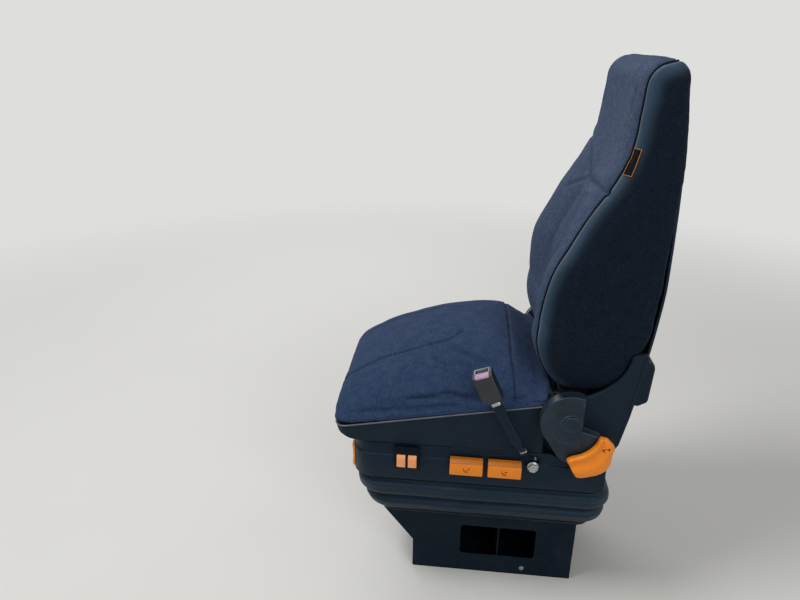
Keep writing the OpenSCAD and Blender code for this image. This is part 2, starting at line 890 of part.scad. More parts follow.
function back_ring(row) =
    let (z = pad_z(row[0]),
         hw = back_w / 2 - row[3],
         y0 = row[1],
         y1 = lookup(z, shell_line) - shell_t - gap - row[2],
         ym = y0 + 0.5 * (y1 - y0))
    [for (i = [0 : 39]) let (a = i * 9, x = hw * bend(cos(a), 4.5))
        [x,
         a <= 180 ? ym + (y1 - ym) * bend(sin(a), 5)
                  : ym + (ym - y0) * bend(sin(a), 5)
                    + row[4] * hollow * pow(max(0, cos(90 * x / (0.8 * hw))), 2)
                      * (abs(x) < 0.8 * hw ? 1 : 0),
         z]];

module back_pad() {
    color(fabric_dark) translate([0, hinge_y, hinge_z])
        loft([for (row = back_rows) back_ring(row)]);
}

console();
console_web();
lower_tray();
suspension_core();
bellows();
upper_tray();
lower_rails();
upper_rails();
side_frame_left();
side_frame_right();
cross_tubes();
housing();
slide_bar();
switch_bezel();
air_switches();
tilt_lever();
depth_lever();
belt_bolt();
belt_anchor();
recliner_shaft();
recliner_cover_left();
recliner_cover_right();
recline_lever();
buckle_stalk();
buckle_body();
buckle_button();
tilt_frame();
cushion_pan();
cushion_pad();
back_frame();
back_trim_left();
back_trim_right();
back_shell();
rear_cover();
back_pad();
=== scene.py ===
import math

import bmesh
import bpy
import numpy as np
from mathutils import Matrix, Vector
from mathutils.bvhtree import BVHTree


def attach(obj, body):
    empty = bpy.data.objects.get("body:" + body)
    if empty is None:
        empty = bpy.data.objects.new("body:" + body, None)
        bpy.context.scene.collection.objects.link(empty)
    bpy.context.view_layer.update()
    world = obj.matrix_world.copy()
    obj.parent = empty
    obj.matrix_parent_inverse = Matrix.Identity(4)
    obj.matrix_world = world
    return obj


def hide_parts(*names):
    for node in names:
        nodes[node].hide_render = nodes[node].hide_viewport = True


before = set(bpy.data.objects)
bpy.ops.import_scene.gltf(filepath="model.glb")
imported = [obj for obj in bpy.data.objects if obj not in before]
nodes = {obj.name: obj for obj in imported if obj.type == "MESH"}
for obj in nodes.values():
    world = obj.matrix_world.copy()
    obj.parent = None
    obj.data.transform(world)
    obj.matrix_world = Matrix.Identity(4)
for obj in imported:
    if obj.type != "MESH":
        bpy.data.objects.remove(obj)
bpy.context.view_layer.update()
mm = 0.001
scene = bpy.context.scene


def linked(name, data):
    thing = bpy.data.objects.new(name, data)
    scene.collection.objects.link(thing)
    return thing


# Camera at the photograph's angle

camera = {
    "place": (1.490, -0.106, 1.300),
    "sensor": 36,
    "lens": 29.025,      # 645 pixels on a picture 800 wide
    "pitch": 22.1,
    "yaw": 6.0,
    "roll": 0.6,
}


def makeCamera():
    pitch, yaw, roll = (math.radians(camera[k]) for k in ("pitch", "yaw", "roll"))
    ahead = Vector((-math.cos(yaw) * math.cos(pitch), -math.sin(yaw) * math.cos(pitch), -math.sin(pitch)))
    right = Vector((-math.sin(yaw), math.cos(yaw), 0))
    up = right.cross(ahead)
    rolledRight = right * math.cos(roll) + up * math.sin(roll)
    rolledUp = up * math.cos(roll) - right * math.sin(roll)
    data = bpy.data.cameras.new("camera")
    data.lens, data.sensor_width, data.sensor_fit = camera["lens"], camera["sensor"], "HORIZONTAL"
    eye = linked("camera", data)
    turn = Matrix((rolledRight, rolledUp, -ahead)).transposed()
    eye.matrix_world = Matrix.Translation(camera["place"]) @ turn.to_4x4()
    scene.camera = eye


makeCamera()
print("camera placed")

# Mesh tools, in millimetres until a piece is made

meshRules = {"merge": 0.01, "sharp": 38}      # points this near become one; edges above this angle stay sharp


def smoothstep(a, b, x):
    t = np.clip((np.asarray(x, float) - a) / (b - a), 0, 1)
    return t * t * (3 - 2 * t)


def denser(rows, count):
    # rows of numbers whose first column rises: resampled smoothly, without overshoot
    rows = np.array(rows, float)
    at = rows[:, 0]
    wanted = np.linspace(at[0], at[-1], count)
    return np.column_stack([wanted] + [monotone(at, rows[:, k], wanted) for k in range(1, rows.shape[1])])


def monotone(x, y, wanted):
    step = np.diff(x)
    slope = np.diff(y) / step
    tangent = np.zeros(len(x))
    for i in range(1, len(x) - 1):
        if slope[i - 1] * slope[i] > 0:
            w1, w2 = 2 * step[i] + step[i - 1], step[i] + 2 * step[i - 1]
            tangent[i] = (w1 + w2) / (w1 / slope[i - 1] + w2 / slope[i])
    tangent[0], tangent[-1] = slope[0], slope[-1]
    k = np.clip(np.searchsorted(x, wanted) - 1, 0, len(step) - 1)
    t = (wanted - x[k]) / step[k]
    h00, h10 = (1 + 2 * t) * (1 - t) ** 2, t * (1 - t) ** 2
    h01, h11 = t * t * (3 - 2 * t), t * t * (t - 1)
    return h00 * y[k] + h10 * step[k] * tangent[k] + h01 * y[k + 1] + h11 * step[k] * tangent[k + 1]


def curveThrough(points, spacing):
    # a smooth line through the points, about one point each spacing
    p = np.array(points, float)
    p = np.vstack([2 * p[0] - p[1], p, 2 * p[-1] - p[-2]])
    out = []
    for i in range(1, len(p) - 2):
        a, b, c, d = p[i - 1:i + 3]
        n = max(2, int(np.linalg.norm(c - b) / spacing))
        for t in np.arange(n) / n:
            out.append(0.5 * (2 * b + (c - a) * t + (2 * a - 5 * b + 4 * c - d) * t * t
                              + (3 * b - a - 3 * c + d) * t ** 3))
    out.append(p[-2])
    return np.array(out)


def rounded(outline, radii, segments=6):
    # a closed outline with an arc of its own radius at each corner
    p = np.array(outline, float)
    n = len(p)
    radii = [radii] * n if np.isscalar(radii) else radii
    out = []
    for i in range(n):
        a, b, c = p[i - 1], p[i], p[(i + 1) % n]
        u, v = a - b, c - b
        lu, lv = np.linalg.norm(u), np.linalg.norm(v)
        u, v = u / lu, v / lv
        half = math.acos(max(-1, min(1, float(u @ v)))) / 2
        if radii[i] <= 0 or half > 1.55:
            out.append(b)
            continue
        back = min(radii[i] / math.tan(half), 0.48 * lu, 0.48 * lv)
        r = back * math.tan(half)
        axis = (u + v) / np.linalg.norm(u + v)
        centre = b + axis * r / math.sin(half)
        s, e = b + u * back - centre, b + v * back - centre
        turn = math.atan2(s[0] * e[1] - s[1] * e[0], float(s @ e))
        for k in range(segments + 1):
            w = turn * k / segments
            across, up = math.cos(w), math.sin(w)
            out.append(centre + [s[0] * across - s[1] * up, s[0] * up + s[1] * across])
    return np.array(out)


def rectangle(u0, u1, v0, v1):
    return [(u0, v0), (u1, v0), (u1, v1), (u0, v1)]


def circle(u, v, r, steps):
    return [(u + r * math.cos(a), v + r * math.sin(a)) for a in np.linspace(0, 2 * math.pi, steps + 1)[:-1]]


def headings(line):
    # the direction of a line at each of its points
    ahead = np.gradient(line, axis=0)
    return ahead / np.linalg.norm(ahead, axis=1)[:, None]


def evaluated(thing):
    # the mesh as its modifiers leave it
    return bpy.data.meshes.new_from_object(thing.evaluated_get(bpy.context.evaluated_depsgraph_get()))


def meshOf(name, points, faces):
    mesh = bpy.data.meshes.new(name)
    mesh.from_pydata([tuple(float(v) * mm for v in p) for p in points], [], faces)
    mesh.validate()
    return mesh


def merged(mesh):
    b = bmesh.new()
    b.from_mesh(mesh)
    bmesh.ops.remove_doubles(b, verts=b.verts, dist=meshRules["merge"] * mm)
    bmesh.ops.recalc_face_normals(b, faces=b.faces)
    return b


def tidied(mesh):
    # outward normals, smooth faces and sharp edges
    b = merged(mesh)
    b.to_mesh(mesh)
    b.free()
    mesh.shade_smooth()
    mesh.set_sharp_from_angle(angle=math.radians(meshRules["sharp"]))
    return mesh


def piece(name, mesh, look, body, slot, *stands):
    # a finished piece with its look, riding a body; it stands for the CAD nodes named last
    thing = linked(name, mesh)
    mesh.materials.append(looks[look])
    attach(thing, body)
    if stands:
        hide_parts(*stands)
    return thing


def prism(outline, low, high, axis="x", edge=0.0, segments=3, limit=30):
    # an outline drawn across an axis, pulled along it, with its edges rounded
    o = np.array(outline, float)
    place = {"x": lambda t: np.column_stack([np.full(len(o), t), o]),
             "y": lambda t: np.column_stack([o[:, 0], np.full(len(o), t), o[:, 1]]),
             "z": lambda t: np.column_stack([o, np.full(len(o), t)])}[axis]
    points = np.vstack([place(low), place(high)])
    n = len(o)
    faces = [list(range(n)), list(range(2 * n - 1, n - 1, -1))]
    faces += [[i, (i + 1) % n, n + (i + 1) % n, n + i] for i in range(n)]
    mesh = meshOf("prism", points, faces)
    if edge:
        roundEdges(mesh, edge, segments, limit)
    return tidied(mesh)


def roundEdges(mesh, edge, segments=3, limit=30, pick=None):
    # rounds the edges sharper than the limit, or those of them that are picked by their middle
    b = merged(mesh)
    sharp = [e for e in b.edges if e.is_manifold and e.calc_face_angle(0) > math.radians(limit)
             and (pick is None or pick((e.verts[0].co + e.verts[1].co) / 2 / mm))]
    bmesh.ops.bevel(b, geom=sharp, offset=edge * mm, offset_type="OFFSET", segments=segments, profile=0.5,
                    affect="EDGES", clamp_overlap=True)
    b.to_mesh(mesh)
    b.free()


def joined(*meshes):
    points, faces, start = [], [], 0
    for m in meshes:
        points += [v.co / mm for v in m.vertices]
        faces += [[start + i for i in f.vertices] for f in m.polygons]
        start += len(m.vertices)
    return tidied(meshOf("joined", points, faces))


def carved(mesh, *cutters, operation="DIFFERENCE"):
    # a boolean with each cutter in turn
    base = linked("base", mesh)
    for cutter in cutters:
        tool = linked("tool", cutter)
        m = base.modifiers.new("cut", "BOOLEAN")
        m.operation, m.object, m.solver = operation, tool, "EXACT"
        bpy.context.view_layer.update()
        fresh = evaluated(base)
        base.modifiers.clear()
        base.data = fresh
        bpy.data.objects.remove(tool)
    result = base.data
    bpy.data.objects.remove(base)
    return tidied(result)


def lofted(rings, closed=True, caps=True):
    # rings of equal length, joined by quads
    rings = np.array(rings, float)
    m, n = rings.shape[:2]
    faces = []
    for k in range(m - 1):
        for i in range(n if closed else n - 1):
            j = (i + 1) % n
            faces.append([k * n + i, k * n + j, (k + 1) * n + j, (k + 1) * n + i])
    points = list(rings.reshape(-1, 3))
    if caps:
        for k, flip in ((0, True), (m - 1, False)):
            points.append(rings[k].mean(0))
            for i in range(n):
                f = [k * n + i, k * n + (i + 1) % n, len(points) - 1]
                faces.append(f[::-1] if flip else f)
    return tidied(meshOf("loft", points, faces))


def turned(profile, centre=(0, 0, 0), axis="x", steps=64):
    # a profile of (along the axis, radius) turned about it
    rings = []
    for a in np.radians(360 * np.arange(steps) / steps):
        c, s = math.cos(a), math.sin(a)
        rings.append([(t, r * c, r * s) if axis == "x" else (r * c, r * s, t) for t, r in profile])
    rings = np.array(rings, float) + np.array(centre, float)
    return lofted(np.concatenate([rings, rings[:1]]), closed=False, caps=False)


def tubed(line, radius, sides=8):
    # a round bead along a line; its radius may change along it
    p = np.array(line, float)
    radius = np.broadcast_to(radius, len(p))
    ahead = headings(p)
    side = np.zeros_like(p)
    guide = np.array([0, 0, 1.0]) if abs(ahead[0][2]) < 0.9 else np.array([0, 1.0, 0])
    for i, a in enumerate(ahead):
        guide = guide - a * (guide @ a)
        guide /= np.linalg.norm(guide)
        side[i] = guide
    across = np.cross(ahead, side)
    a = np.arange(sides)[:, None] * 2 * math.pi / sides
    return lofted([p[i] + radius[i] * (np.cos(a) * side[i] + np.sin(a) * across[i]) for i in range(len(p))])


def distanceTo(points, line):
    # distance of each point to a polyline, and how far along it the nearest place is
    p, line = np.asarray(points, float), np.asarray(line, float)
    best = np.full(len(p), 1e9)
    along = np.zeros(len(p))
    start = 0.0
    for a, b in zip(line[:-1], line[1:]):
        d = b - a
        length = np.linalg.norm(d)
        if length < 1e-9:
            continue
        t = np.clip((p - a) @ d / length ** 2, 0, 1)
        gap = np.linalg.norm(p - a - t[:, None] * d, axis=1)
        near = gap < best
        best[near] = gap[near]
        along[near] = start + t[near] * length
        start += length
    return best, along / max(start, 1e-9)


def pointsOf(mesh):
    co = np.zeros(len(mesh.vertices) * 3)
    mesh.vertices.foreach_get("co", co)
    return co.reshape(-1, 3) / mm


def normalsOf(mesh):
    no = np.zeros(len(mesh.vertices) * 3)
    mesh.vertex_normals.foreach_get("vector", no)
    return no.reshape(-1, 3)


def setPoints(mesh, points):
    mesh.vertices.foreach_set("co", (np.asarray(points) * mm).astype(np.float32).ravel())
    mesh.update()


def mark(mesh, name, values):
    found = mesh.attributes.get(name) or mesh.attributes.new(name, "FLOAT", "POINT")
    found.data.foreach_set("value", np.asarray(values, np.float32))


def onto(mesh, line, proud=0.0):
    # a line laid on the nearest place of a mesh, and the normals there
    b = bmesh.new()
    b.from_mesh(mesh)
    tree = BVHTree.FromBMesh(b)
    out, normal = [], []
    for p in line:
        where, n, _, _ = tree.find_nearest(Vector(p) * mm)
        out.append(np.array(where) / mm + np.array(n) * proud)
        normal.append(np.array(n))
    b.free()
    return np.array(out), np.array(normal)


hashKeys = {"cell": (374761393, 668265263, 2147483647), "seed": 1013, "mix": 1274126177, "limit": 0x7FFFFFFF,
            "shift": 17.31}


def noise(points, size, seed=0):
    # smooth value noise about -1..1, the same each run
    k = hashKeys
    p = np.asarray(points, float) / size + seed * k["shift"]
    cell = np.floor(p).astype(np.int64)
    f = p - cell
    f = f * f * (3 - 2 * f)
    total = np.zeros(len(p))
    for corner in np.ndindex(2, 2, 2):
        c = cell + corner
        h = (c @ np.array(k["cell"]) + seed * k["seed"]) & k["limit"]
        h = ((h ^ (h >> 13)) * k["mix"]) & k["limit"]
        h = h ^ (h >> 16)
        x, y, z = (np.where(up, f[:, i], 1 - f[:, i]) for i, up in enumerate(corner))
        total += x * y * z * ((h & 0xFFFF) / 32767.5 - 1)
    return total


def puffed(mesh, settings):
    # blows a closed mesh up as filled cloth, each point by no more than the cap
    base = linked("puff", mesh)
    even = base.modifiers.new("even", "REMESH")
    even.mode, even.voxel_size = "VOXEL", settings["voxel"] * mm
    bpy.context.view_layer.update()
    fresh = evaluated(base)
    base.modifiers.clear()
    base.data = fresh
    before = pointsOf(fresh)
    c = base.modifiers.new("cloth", "CLOTH").settings
    c.use_pressure = True
    c.uniform_pressure_force = settings["pressure"]
    c.effector_weights.gravity = 0
    c.quality, c.mass = settings["quality"], settings["mass"]
    c.tension_stiffness = c.compression_stiffness = settings["stiff"]
    c.shear_stiffness = settings["stiff"] / 2
    c.bending_stiffness = settings["bend"]
    for f in range(1, settings["frames"] + 1):
        scene.frame_set(f)
    move = pointsOf(evaluated(base)) - before
    base.modifiers.clear()
    scene.frame_set(1)
    far = np.linalg.norm(move, axis=1)
    share = settings["cap"] * np.tanh(far / settings["cap"]) / np.maximum(far, 1e-6)
    setPoints(fresh, before + move * share[:, None])
    bpy.data.objects.remove(base)
    return fresh


def finer(mesh):
    base = linked("fine", mesh)
    s = base.modifiers.new("fine", "SUBSURF")
    s.levels = s.render_levels = 1
    bpy.context.view_layer.update()
    fresh = evaluated(base)
    bpy.data.objects.remove(base)
    fresh.shade_smooth()
    return fresh


# Shader tools


def linear(code):
    # a screen colour in the shader's own values
    channel = [int(code[i:i + 2], 16) / 255 for i in (1, 3, 5)]
    return [c / 12.92 if c <= 0.04045 else ((c + 0.055) / 1.055) ** 2.4 for c in channel] + [1.0]


def feed(tree, socket, value):
    if isinstance(value, bpy.types.NodeSocket):
        tree.links.new(value, socket)
    elif isinstance(value, str):
        socket.default_value = linear(value)
    else:
        socket.default_value = value


def node(tree, kind, *inputs, **settings):
    n = tree.nodes.new("ShaderNode" + kind)
    for k, v in settings.items():
        setattr(n, k, v)
    for i, v in enumerate(inputs):
        if v is not None:
            feed(tree, n.inputs[i], v)
    return n


def calc(tree, operation, *inputs, clamp=False):
    return node(tree, "Math", *inputs, operation=operation, use_clamp=clamp).outputs[0]


def ramp(tree, value, low, high, bottom=0.0, top=1.0):
    n = node(tree, "MapRange", value, low, high, bottom, top, interpolation_type="SMOOTHSTEP")
    return n.outputs[0]


def mixed(tree, share, a, b):
    n = tree.nodes.new("ShaderNodeMix")
    n.data_type = "RGBA"
    feed(tree, n.inputs[0], share)
    feed(tree, n.inputs[6], a)
    feed(tree, n.inputs[7], b)
    return n.outputs[2]


def noiseOf(tree, vector, scale, detail=2.0, rough=0.5):
    return node(tree, "TexNoise", vector, None, scale, detail, rough).outputs[0]


def stretched(tree, vector, scale):
    n = node(tree, "VectorMath", vector, operation="SCALE")
    feed(tree, n.inputs["Scale"], scale)
    return n.outputs[0]


def part(tree, value, share):
    return calc(tree, "MULTIPLY", value, share)


def newGroup(name, inputs, outputs):
    tree = bpy.data.node_groups.new(name, "ShaderNodeTree")
    for label, kind, value in inputs:
        s = tree.interface.new_socket(name=label, in_out="INPUT", socket_type="NodeSocket" + kind)
        if value is not None:
            s.default_value = value
    for label, kind in outputs:
        tree.interface.new_socket(name=label, in_out="OUTPUT", socket_type="NodeSocket" + kind)
    return tree, tree.nodes.new("NodeGroupInput"), tree.nodes.new("NodeGroupOutput")


def place(tree, group, **values):
    n = tree.nodes.new("ShaderNodeGroup")
    n.node_tree = group
    for k, v in values.items():
        feed(tree, n.inputs[k], v)
    return n


def put(tree, end, **values):
    for k, v in values.items():
        tree.links.new(v, end.inputs[k])


# cloth: how sharply its planes part, how round its threads are, how far they dip, and how they stray
weaveRules = {"planes": 6.0, "round": 0.6, "dip": (0.45, 0.55), "drift": 60.0, "reach": 0.004}


def triple(tree, normal):
    # shares of the three planes a surface faces
    raised = node(tree, "VectorMath", normal, operation="ABSOLUTE").outputs[0]
    x, y, z = node(tree, "SeparateXYZ", raised).outputs
    x, y, z = (calc(tree, "POWER", v, weaveRules["planes"]) for v in (x, y, z))
    total = calc(tree, "ADD", calc(tree, "ADD", x, y), z)
    return [calc(tree, "DIVIDE", v, total) for v in (x, y, z)]


# Plain weave in one plane: rounded threads that pass over and under


def makeWeavePlane():
    tree, i, o = newGroup("weavePlane", [("U", "Float", 0.0), ("V", "Float", 0.0)],
                          [("Height", "Float"), ("Warp", "Float")])
    su, sv = (calc(tree, "SINE", part(tree, i.outputs[k], math.pi)) for k in "UV")
    warp = calc(tree, "GREATER_THAN", part(tree, su, sv), 0.0)
    a, b = (calc(tree, "POWER", calc(tree, "ABSOLUTE", s), weaveRules["round"]) for s in (su, sv))
    along = part(tree, a, calc(tree, "MULTIPLY_ADD", b, *weaveRules["dip"]))
    over = part(tree, b, calc(tree, "MULTIPLY_ADD", a, *weaveRules["dip"]))
    height = node(tree, "Mix", warp, None, over, along)
    put(tree, o, Height=height.outputs[0], Warp=warp)
    return tree


weavePlane = makeWeavePlane()


def makeWeave():
    tree, i, o = newGroup("weave", [("Pitch", "Float", 0.0016), ("Waver", "Float", 0.25)],
                          [("Height", "Float"), ("Fleck", "Float"), ("Slub", "Float")])
    at = node(tree, "TexCoord").outputs
    drift = node(tree, "TexNoise", at["Object"], None, weaveRules["drift"], 1.0).outputs["Color"]
    moved = node(tree, "VectorMath", drift, (0.5, 0.5, 0.5), operation="SUBTRACT").outputs[0]
    strayed = stretched(tree, moved, part(tree, i.outputs["Waver"], weaveRules["reach"]))
    spot = node(tree, "VectorMath", at["Object"], strayed, operation="ADD").outputs[0]
    sized = stretched(tree, spot, calc(tree, "DIVIDE", 1.0, i.outputs["Pitch"]))
    x, y, z = node(tree, "SeparateXYZ", sized).outputs
    shares = triple(tree, at["Normal"])
    height, warp = 0.0, 0.0
    for share, u, v in zip(shares, (y, x, x), (z, z, y)):
        plane = place(tree, weavePlane, U=u, V=v)
        height = calc(tree, "MULTIPLY_ADD", plane.outputs["Height"], share, height)
        warp = calc(tree, "MULTIPLY_ADD", plane.outputs["Warp"], share, warp)
    fine = ramp(tree, noiseOf(tree, sized, 0.62, 3.0, 0.6), 0.50, 0.68)
    coarse = ramp(tree, noiseOf(tree, at["Object"], 330.0, 2.0, 0.7), 0.48, 0.64)
    fleck = part(tree, calc(tree, "MULTIPLY_ADD", coarse, 0.65, part(tree, fine, 0.35)),
                 calc(tree, "MULTIPLY_ADD", warp, 0.4, 0.6))
    put(tree, o, Height=height, Fleck=fleck, Slub=ramp(tree, noiseOf(tree, sized, 0.09, 2.0), 0.35, 0.7))
    return tree


weave = makeWeave()


def makeGrain():
    tree, i, o = newGroup("grain", [("Cells", "Float", 900.0), ("Mixed", "Float", 0.5)],
                          [("Height", "Float"), ("Pit", "Float")])
    at = node(tree, "TexCoord").outputs["Object"]
    cell = node(tree, "TexVoronoi", at, None, i.outputs["Cells"], feature="DISTANCE_TO_EDGE").outputs[0]
    pebble = ramp(tree, cell, 0.0, 0.35)
    fine = noiseOf(tree, at, part(tree, i.outputs["Cells"], 1.7), 3.0, 0.6)
    put(tree, o, Height=calc(tree, "MULTIPLY_ADD", fine, i.outputs["Mixed"], pebble),
        Pit=calc(tree, "SUBTRACT", 1.0, pebble))
    return tree


grain = makeGrain()


def makeWear():
    tree, i, o = newGroup("wear", [("Amount", "Float", 0.5), ("Scale", "Float", 40.0)],
                          [("Edge", "Float"), ("Patch", "Float"), ("Scratch", "Float")])
    at = node(tree, "TexCoord").outputs["Object"]
    bulge = ramp(tree, node(tree, "NewGeometry").outputs["Pointiness"], 0.52, 0.62)
    broken = noiseOf(tree, at, i.outputs["Scale"], 5.0, 0.65)
    cut = calc(tree, "SUBTRACT", 1.0, part(tree, i.outputs["Amount"], 0.6))
    edge = part(tree, bulge, ramp(tree, broken, calc(tree, "SUBTRACT", cut, 0.25), cut))
    patch = ramp(tree, noiseOf(tree, at, part(tree, i.outputs["Scale"], 0.22), 4.0, 0.6), 0.35, 0.7)
    drawn = node(tree, "Mapping", at)
    drawn.inputs["Rotation"].default_value = (0.4, 0.9, 0.3)
    drawn.inputs["Scale"].default_value = (9, 260, 260)      # long thin hairs
    hair = noiseOf(tree, drawn.outputs[0], 1.0, 2.0, 0.5)
    put(tree, o, Edge=part(tree, edge, i.outputs["Amount"]), Patch=patch,
        Scratch=ramp(tree, hair, 0.66, 0.72))
    return tree


wear = makeWear()


def makeDust():
    tree, i, o = newGroup("dust", [("Amount", "Float", 0.3), ("Scale", "Float", 25.0)], [("Mask", "Float")])
    at = node(tree, "TexCoord").outputs
    up = ramp(tree, node(tree, "SeparateXYZ", at["Normal"]).outputs[2], 0.1, 0.95, 0.12, 1.0)
    cloud = ramp(tree, noiseOf(tree, at["Object"], i.outputs["Scale"], 4.0, 0.6), 0.4, 0.75)
    speck = ramp(tree, noiseOf(tree, at["Object"], 700.0, 2.0, 0.6), 0.6, 0.75, 0.35, 1.0)
    put(tree, o, Mask=part(tree, part(tree, up, cloud), part(tree, speck, i.outputs["Amount"])))
    return tree


dust = makeDust()


def newMaterial(name, metallic=0.0, sheen=0.0, sheenTint="#ffffff", gloss=0.5, glossTint="#ffffff"):
    m = bpy.data.materials.new(name)
    m.use_nodes = True
    tree = m.node_tree
    shader = tree.nodes["Principled BSDF"]
    shader.inputs["Metallic"].default_value = metallic
    shader.inputs["Sheen Weight"].default_value = sheen
    shader.inputs["Sheen Roughness"].default_value = 0.45
    shader.inputs["Sheen Tint"].default_value = linear(sheenTint)
    shader.inputs["Specular IOR Level"].default_value = gloss
    shader.inputs["Specular Tint"].default_value = linear(glossTint)
    return m, tree, shader


def finish(tree, shader, colour, rough, height, depth):
    feed(tree, shader.inputs["Base Color"], colour)
    feed(tree, shader.inputs["Roughness"], rough)
    bump = node(tree, "Bump", 1.0, depth)
    feed(tree, bump.inputs["Height"], height)
    put(tree, shader, Normal=bump.outputs[0])


def makeClothTone():
    inputs = [("Height", "Float", 0.5), ("Fleck", "Float", 0.0), ("Slub", "Float", 0.5),
              ("Base", "Color", None), ("Deep", "Color", None), ("Thread", "Color", None)]
    tree, i, o = newGroup("clothTone", inputs, [("Color", "Color")])
    thread = mixed(tree, ramp(tree, i.outputs["Height"], 0.0, 0.6), i.outputs["Deep"], i.outputs["Base"])
    patchy = mixed(tree, part(tree, i.outputs["Slub"], 0.22), thread, i.outputs["Deep"])
    put(tree, o, Color=mixed(tree, i.outputs["Fleck"], patchy, i.outputs["Thread"]))
    return tree


clothTone = makeClothTone()

# the same on every cloth: its sheen and gloss, and its lint
clothRules = {"sheen": 0.06, "sheenTint": "#8fa3c2", "gloss": 0.1}
lintRules = {"scale": 40.0, "colour": "#8b93a0"}
clothLooks = {
    "coverCloth": {"deep": "#17243a", "base": "#293a58", "thread": "#54709b", "pitch": 0.0011, "flecks": 0.42,
                   "waver": 0.5, "bump": 0.0004, "lint": 0.14},
    "pipingCloth": {"deep": "#03070c", "base": "#070e17", "thread": "#1a2634", "pitch": 0.0009, "flecks": 0.3,
                    "waver": 0.2, "bump": 0.0002, "lint": 0.03},
    "labelCloth": {"deep": "#04070c", "base": "#0a0f16", "thread": "#1c2530", "pitch": 0.0007, "flecks": 0.3,
                   "waver": 0.1, "bump": 0.0002, "lint": 0.03},
    "amberThread": {"deep": "#7a4a12", "base": "#c07a25", "thread": "#e6a650", "pitch": 0.0008, "flecks": 0.5,
                    "waver": 0.1, "bump": 0.0003, "lint": 0.0},
}


def clothColour(tree, look):
    w = place(tree, weave, Pitch=look["pitch"], Waver=look["waver"])
    tone = place(tree, clothTone, Height=w.outputs["Height"], Slub=w.outputs["Slub"], Base=look["base"],
                 Deep=look["deep"], Thread=look["thread"],
                 Fleck=part(tree, w.outputs["Fleck"], look["flecks"]))
    return tone.outputs["Color"], w


def shaded(tree, colour):
    # painted shade: the seam attribute darkens the cloth in seam channels and creases
    dark = node(tree, "Attribute", attribute_name="seam").outputs["Fac"]
    return mixed(tree, part(tree, dark, 0.85), colour, "#04070c")


def finishCloth(tree, shader, colour, w, lint, bump):
    film = place(tree, dust, Amount=lint, Scale=lintRules["scale"]).outputs["Mask"]
    rough = calc(tree, "MULTIPLY_ADD", w.outputs["Slub"], 0.1, 0.84)
    height = calc(tree, "MULTIPLY_ADD", w.outputs["Fleck"], 0.8, w.outputs["Height"])
    finish(tree, shader, mixed(tree, film, shaded(tree, colour), lintRules["colour"]), rough, height, bump)


def makeCloth(name):
    look = clothLooks[name]
    m, tree, shader = newMaterial(name, **clothRules)
    colour, w = clothColour(tree, look)
    finishCloth(tree, shader, colour, w, look["lint"], look["bump"])
    return m


# glossTint, where given, tints the reflections bluish: painted blue sky light in the highlights
plasticLooks = {
    "grainedPlastic": {"base": "#101b25", "pit": "#070d13", "worn": "#34434f", "cells": 620.0, "bump": 0.0002,
                       "rough": 0.48, "wear": 0.12, "dust": 0.1, "gloss": 0.3, "glossTint": "#9fc3e8"},
    # pale, heavy edge wear: part wear, part painted highlight on the rims of the covers
    "coverPlastic": {"base": "#0e1922", "pit": "#080e14", "worn": "#6f7e8b", "cells": 900.0, "bump": 0.00008,
                     "rough": 0.34, "wear": 0.8, "dust": 0.05, "gloss": 0.5, "glossTint": "#b9d4ee"},
    # the pan's own plastic made much lighter: painted highlight on the lip, with some wear
    "litLipPlastic": {"base": "#454b55", "pit": "#2e333b", "worn": "#8b8c94", "cells": 1500.0, "bump": 0.00005,
                   "rough": 0.3, "wear": 0.8, "dust": 0.2, "gloss": 0.6},
    "satinPlastic": {"base": "#1d2329", "pit": "#12161a", "worn": "#565d63", "cells": 1500.0, "bump": 0.00006,
                     "rough": 0.34, "wear": 0.5, "dust": 0.1, "gloss": 0.45},
    "rimPlastic": {"base": "#6b7680", "pit": "#4c555d", "worn": "#b3bec8", "cells": 1500.0, "bump": 0.00005,
                   "rough": 0.3, "wear": 0.8, "dust": 0.1, "gloss": 0.6},
    "blackBlock": {"base": "#05090f", "pit": "#020406", "worn": "#1b232b", "cells": 1300.0, "bump": 0.00006,
                   "rough": 0.36, "wear": 0.4, "dust": 0.06, "gloss": 0.2, "glossTint": "#9fc3e8"},
    "orangePlastic": {"base": "#f28a10", "pit": "#d46f08", "worn": "#f9b04e", "cells": 1700.0,
                      "bump": 0.00005, "rough": 0.34, "wear": 0.4, "dust": 0.04, "gloss": 0.4},
    "switchOrange": {"base": "#f2a168", "pit": "#d98a50", "worn": "#ffd6aa", "cells": 1700.0, "bump": 0.00004,
                     "rough": 0.32, "wear": 0.6, "dust": 0.1, "gloss": 0.5},
    "rosePlastic": {"base": "#b98bb0", "pit": "#986c8f", "worn": "#e6cbe0", "cells": 1800.0, "bump": 0.00004,
                    "rough": 0.38, "wear": 0.7, "dust": 0.08, "gloss": 0.45},
    "moulding": {"base": "#0b1722", "pit": "#050b12", "worn": "#263440", "cells": 900.0, "bump": 0.0001,
                 "rough": 0.42, "wear": 0.3, "dust": 0.1, "gloss": 0.36, "glossTint": "#9fc3e8"},
}


# glossTint on the black paint tints its reflections bluish: painted blue sky light
metalLooks = {
    "blackPaint": {"base": "#06121c", "worn": "#343d45", "rough": 0.46, "metallic": 0.0, "wear": 0.5,
                   "bump": 0.00012, "dust": 0.14, "orange": 240.0, "gloss": 0.18, "glossTint": "#9fc3e8"},
    "zincPlate": {"base": "#9a9fa2", "worn": "#74777a", "rough": 0.4, "metallic": 1.0, "wear": 0.6,
                  "bump": 0.00006, "dust": 0.12, "orange": 500.0, "gloss": 0.5},
    "brightSteel": {"base": "#a9adae", "worn": "#7e8284", "rough": 0.36, "metallic": 1.0, "wear": 0.6,
                    "bump": 0.00005, "dust": 0.1, "orange": 400.0, "gloss": 0.5},
}


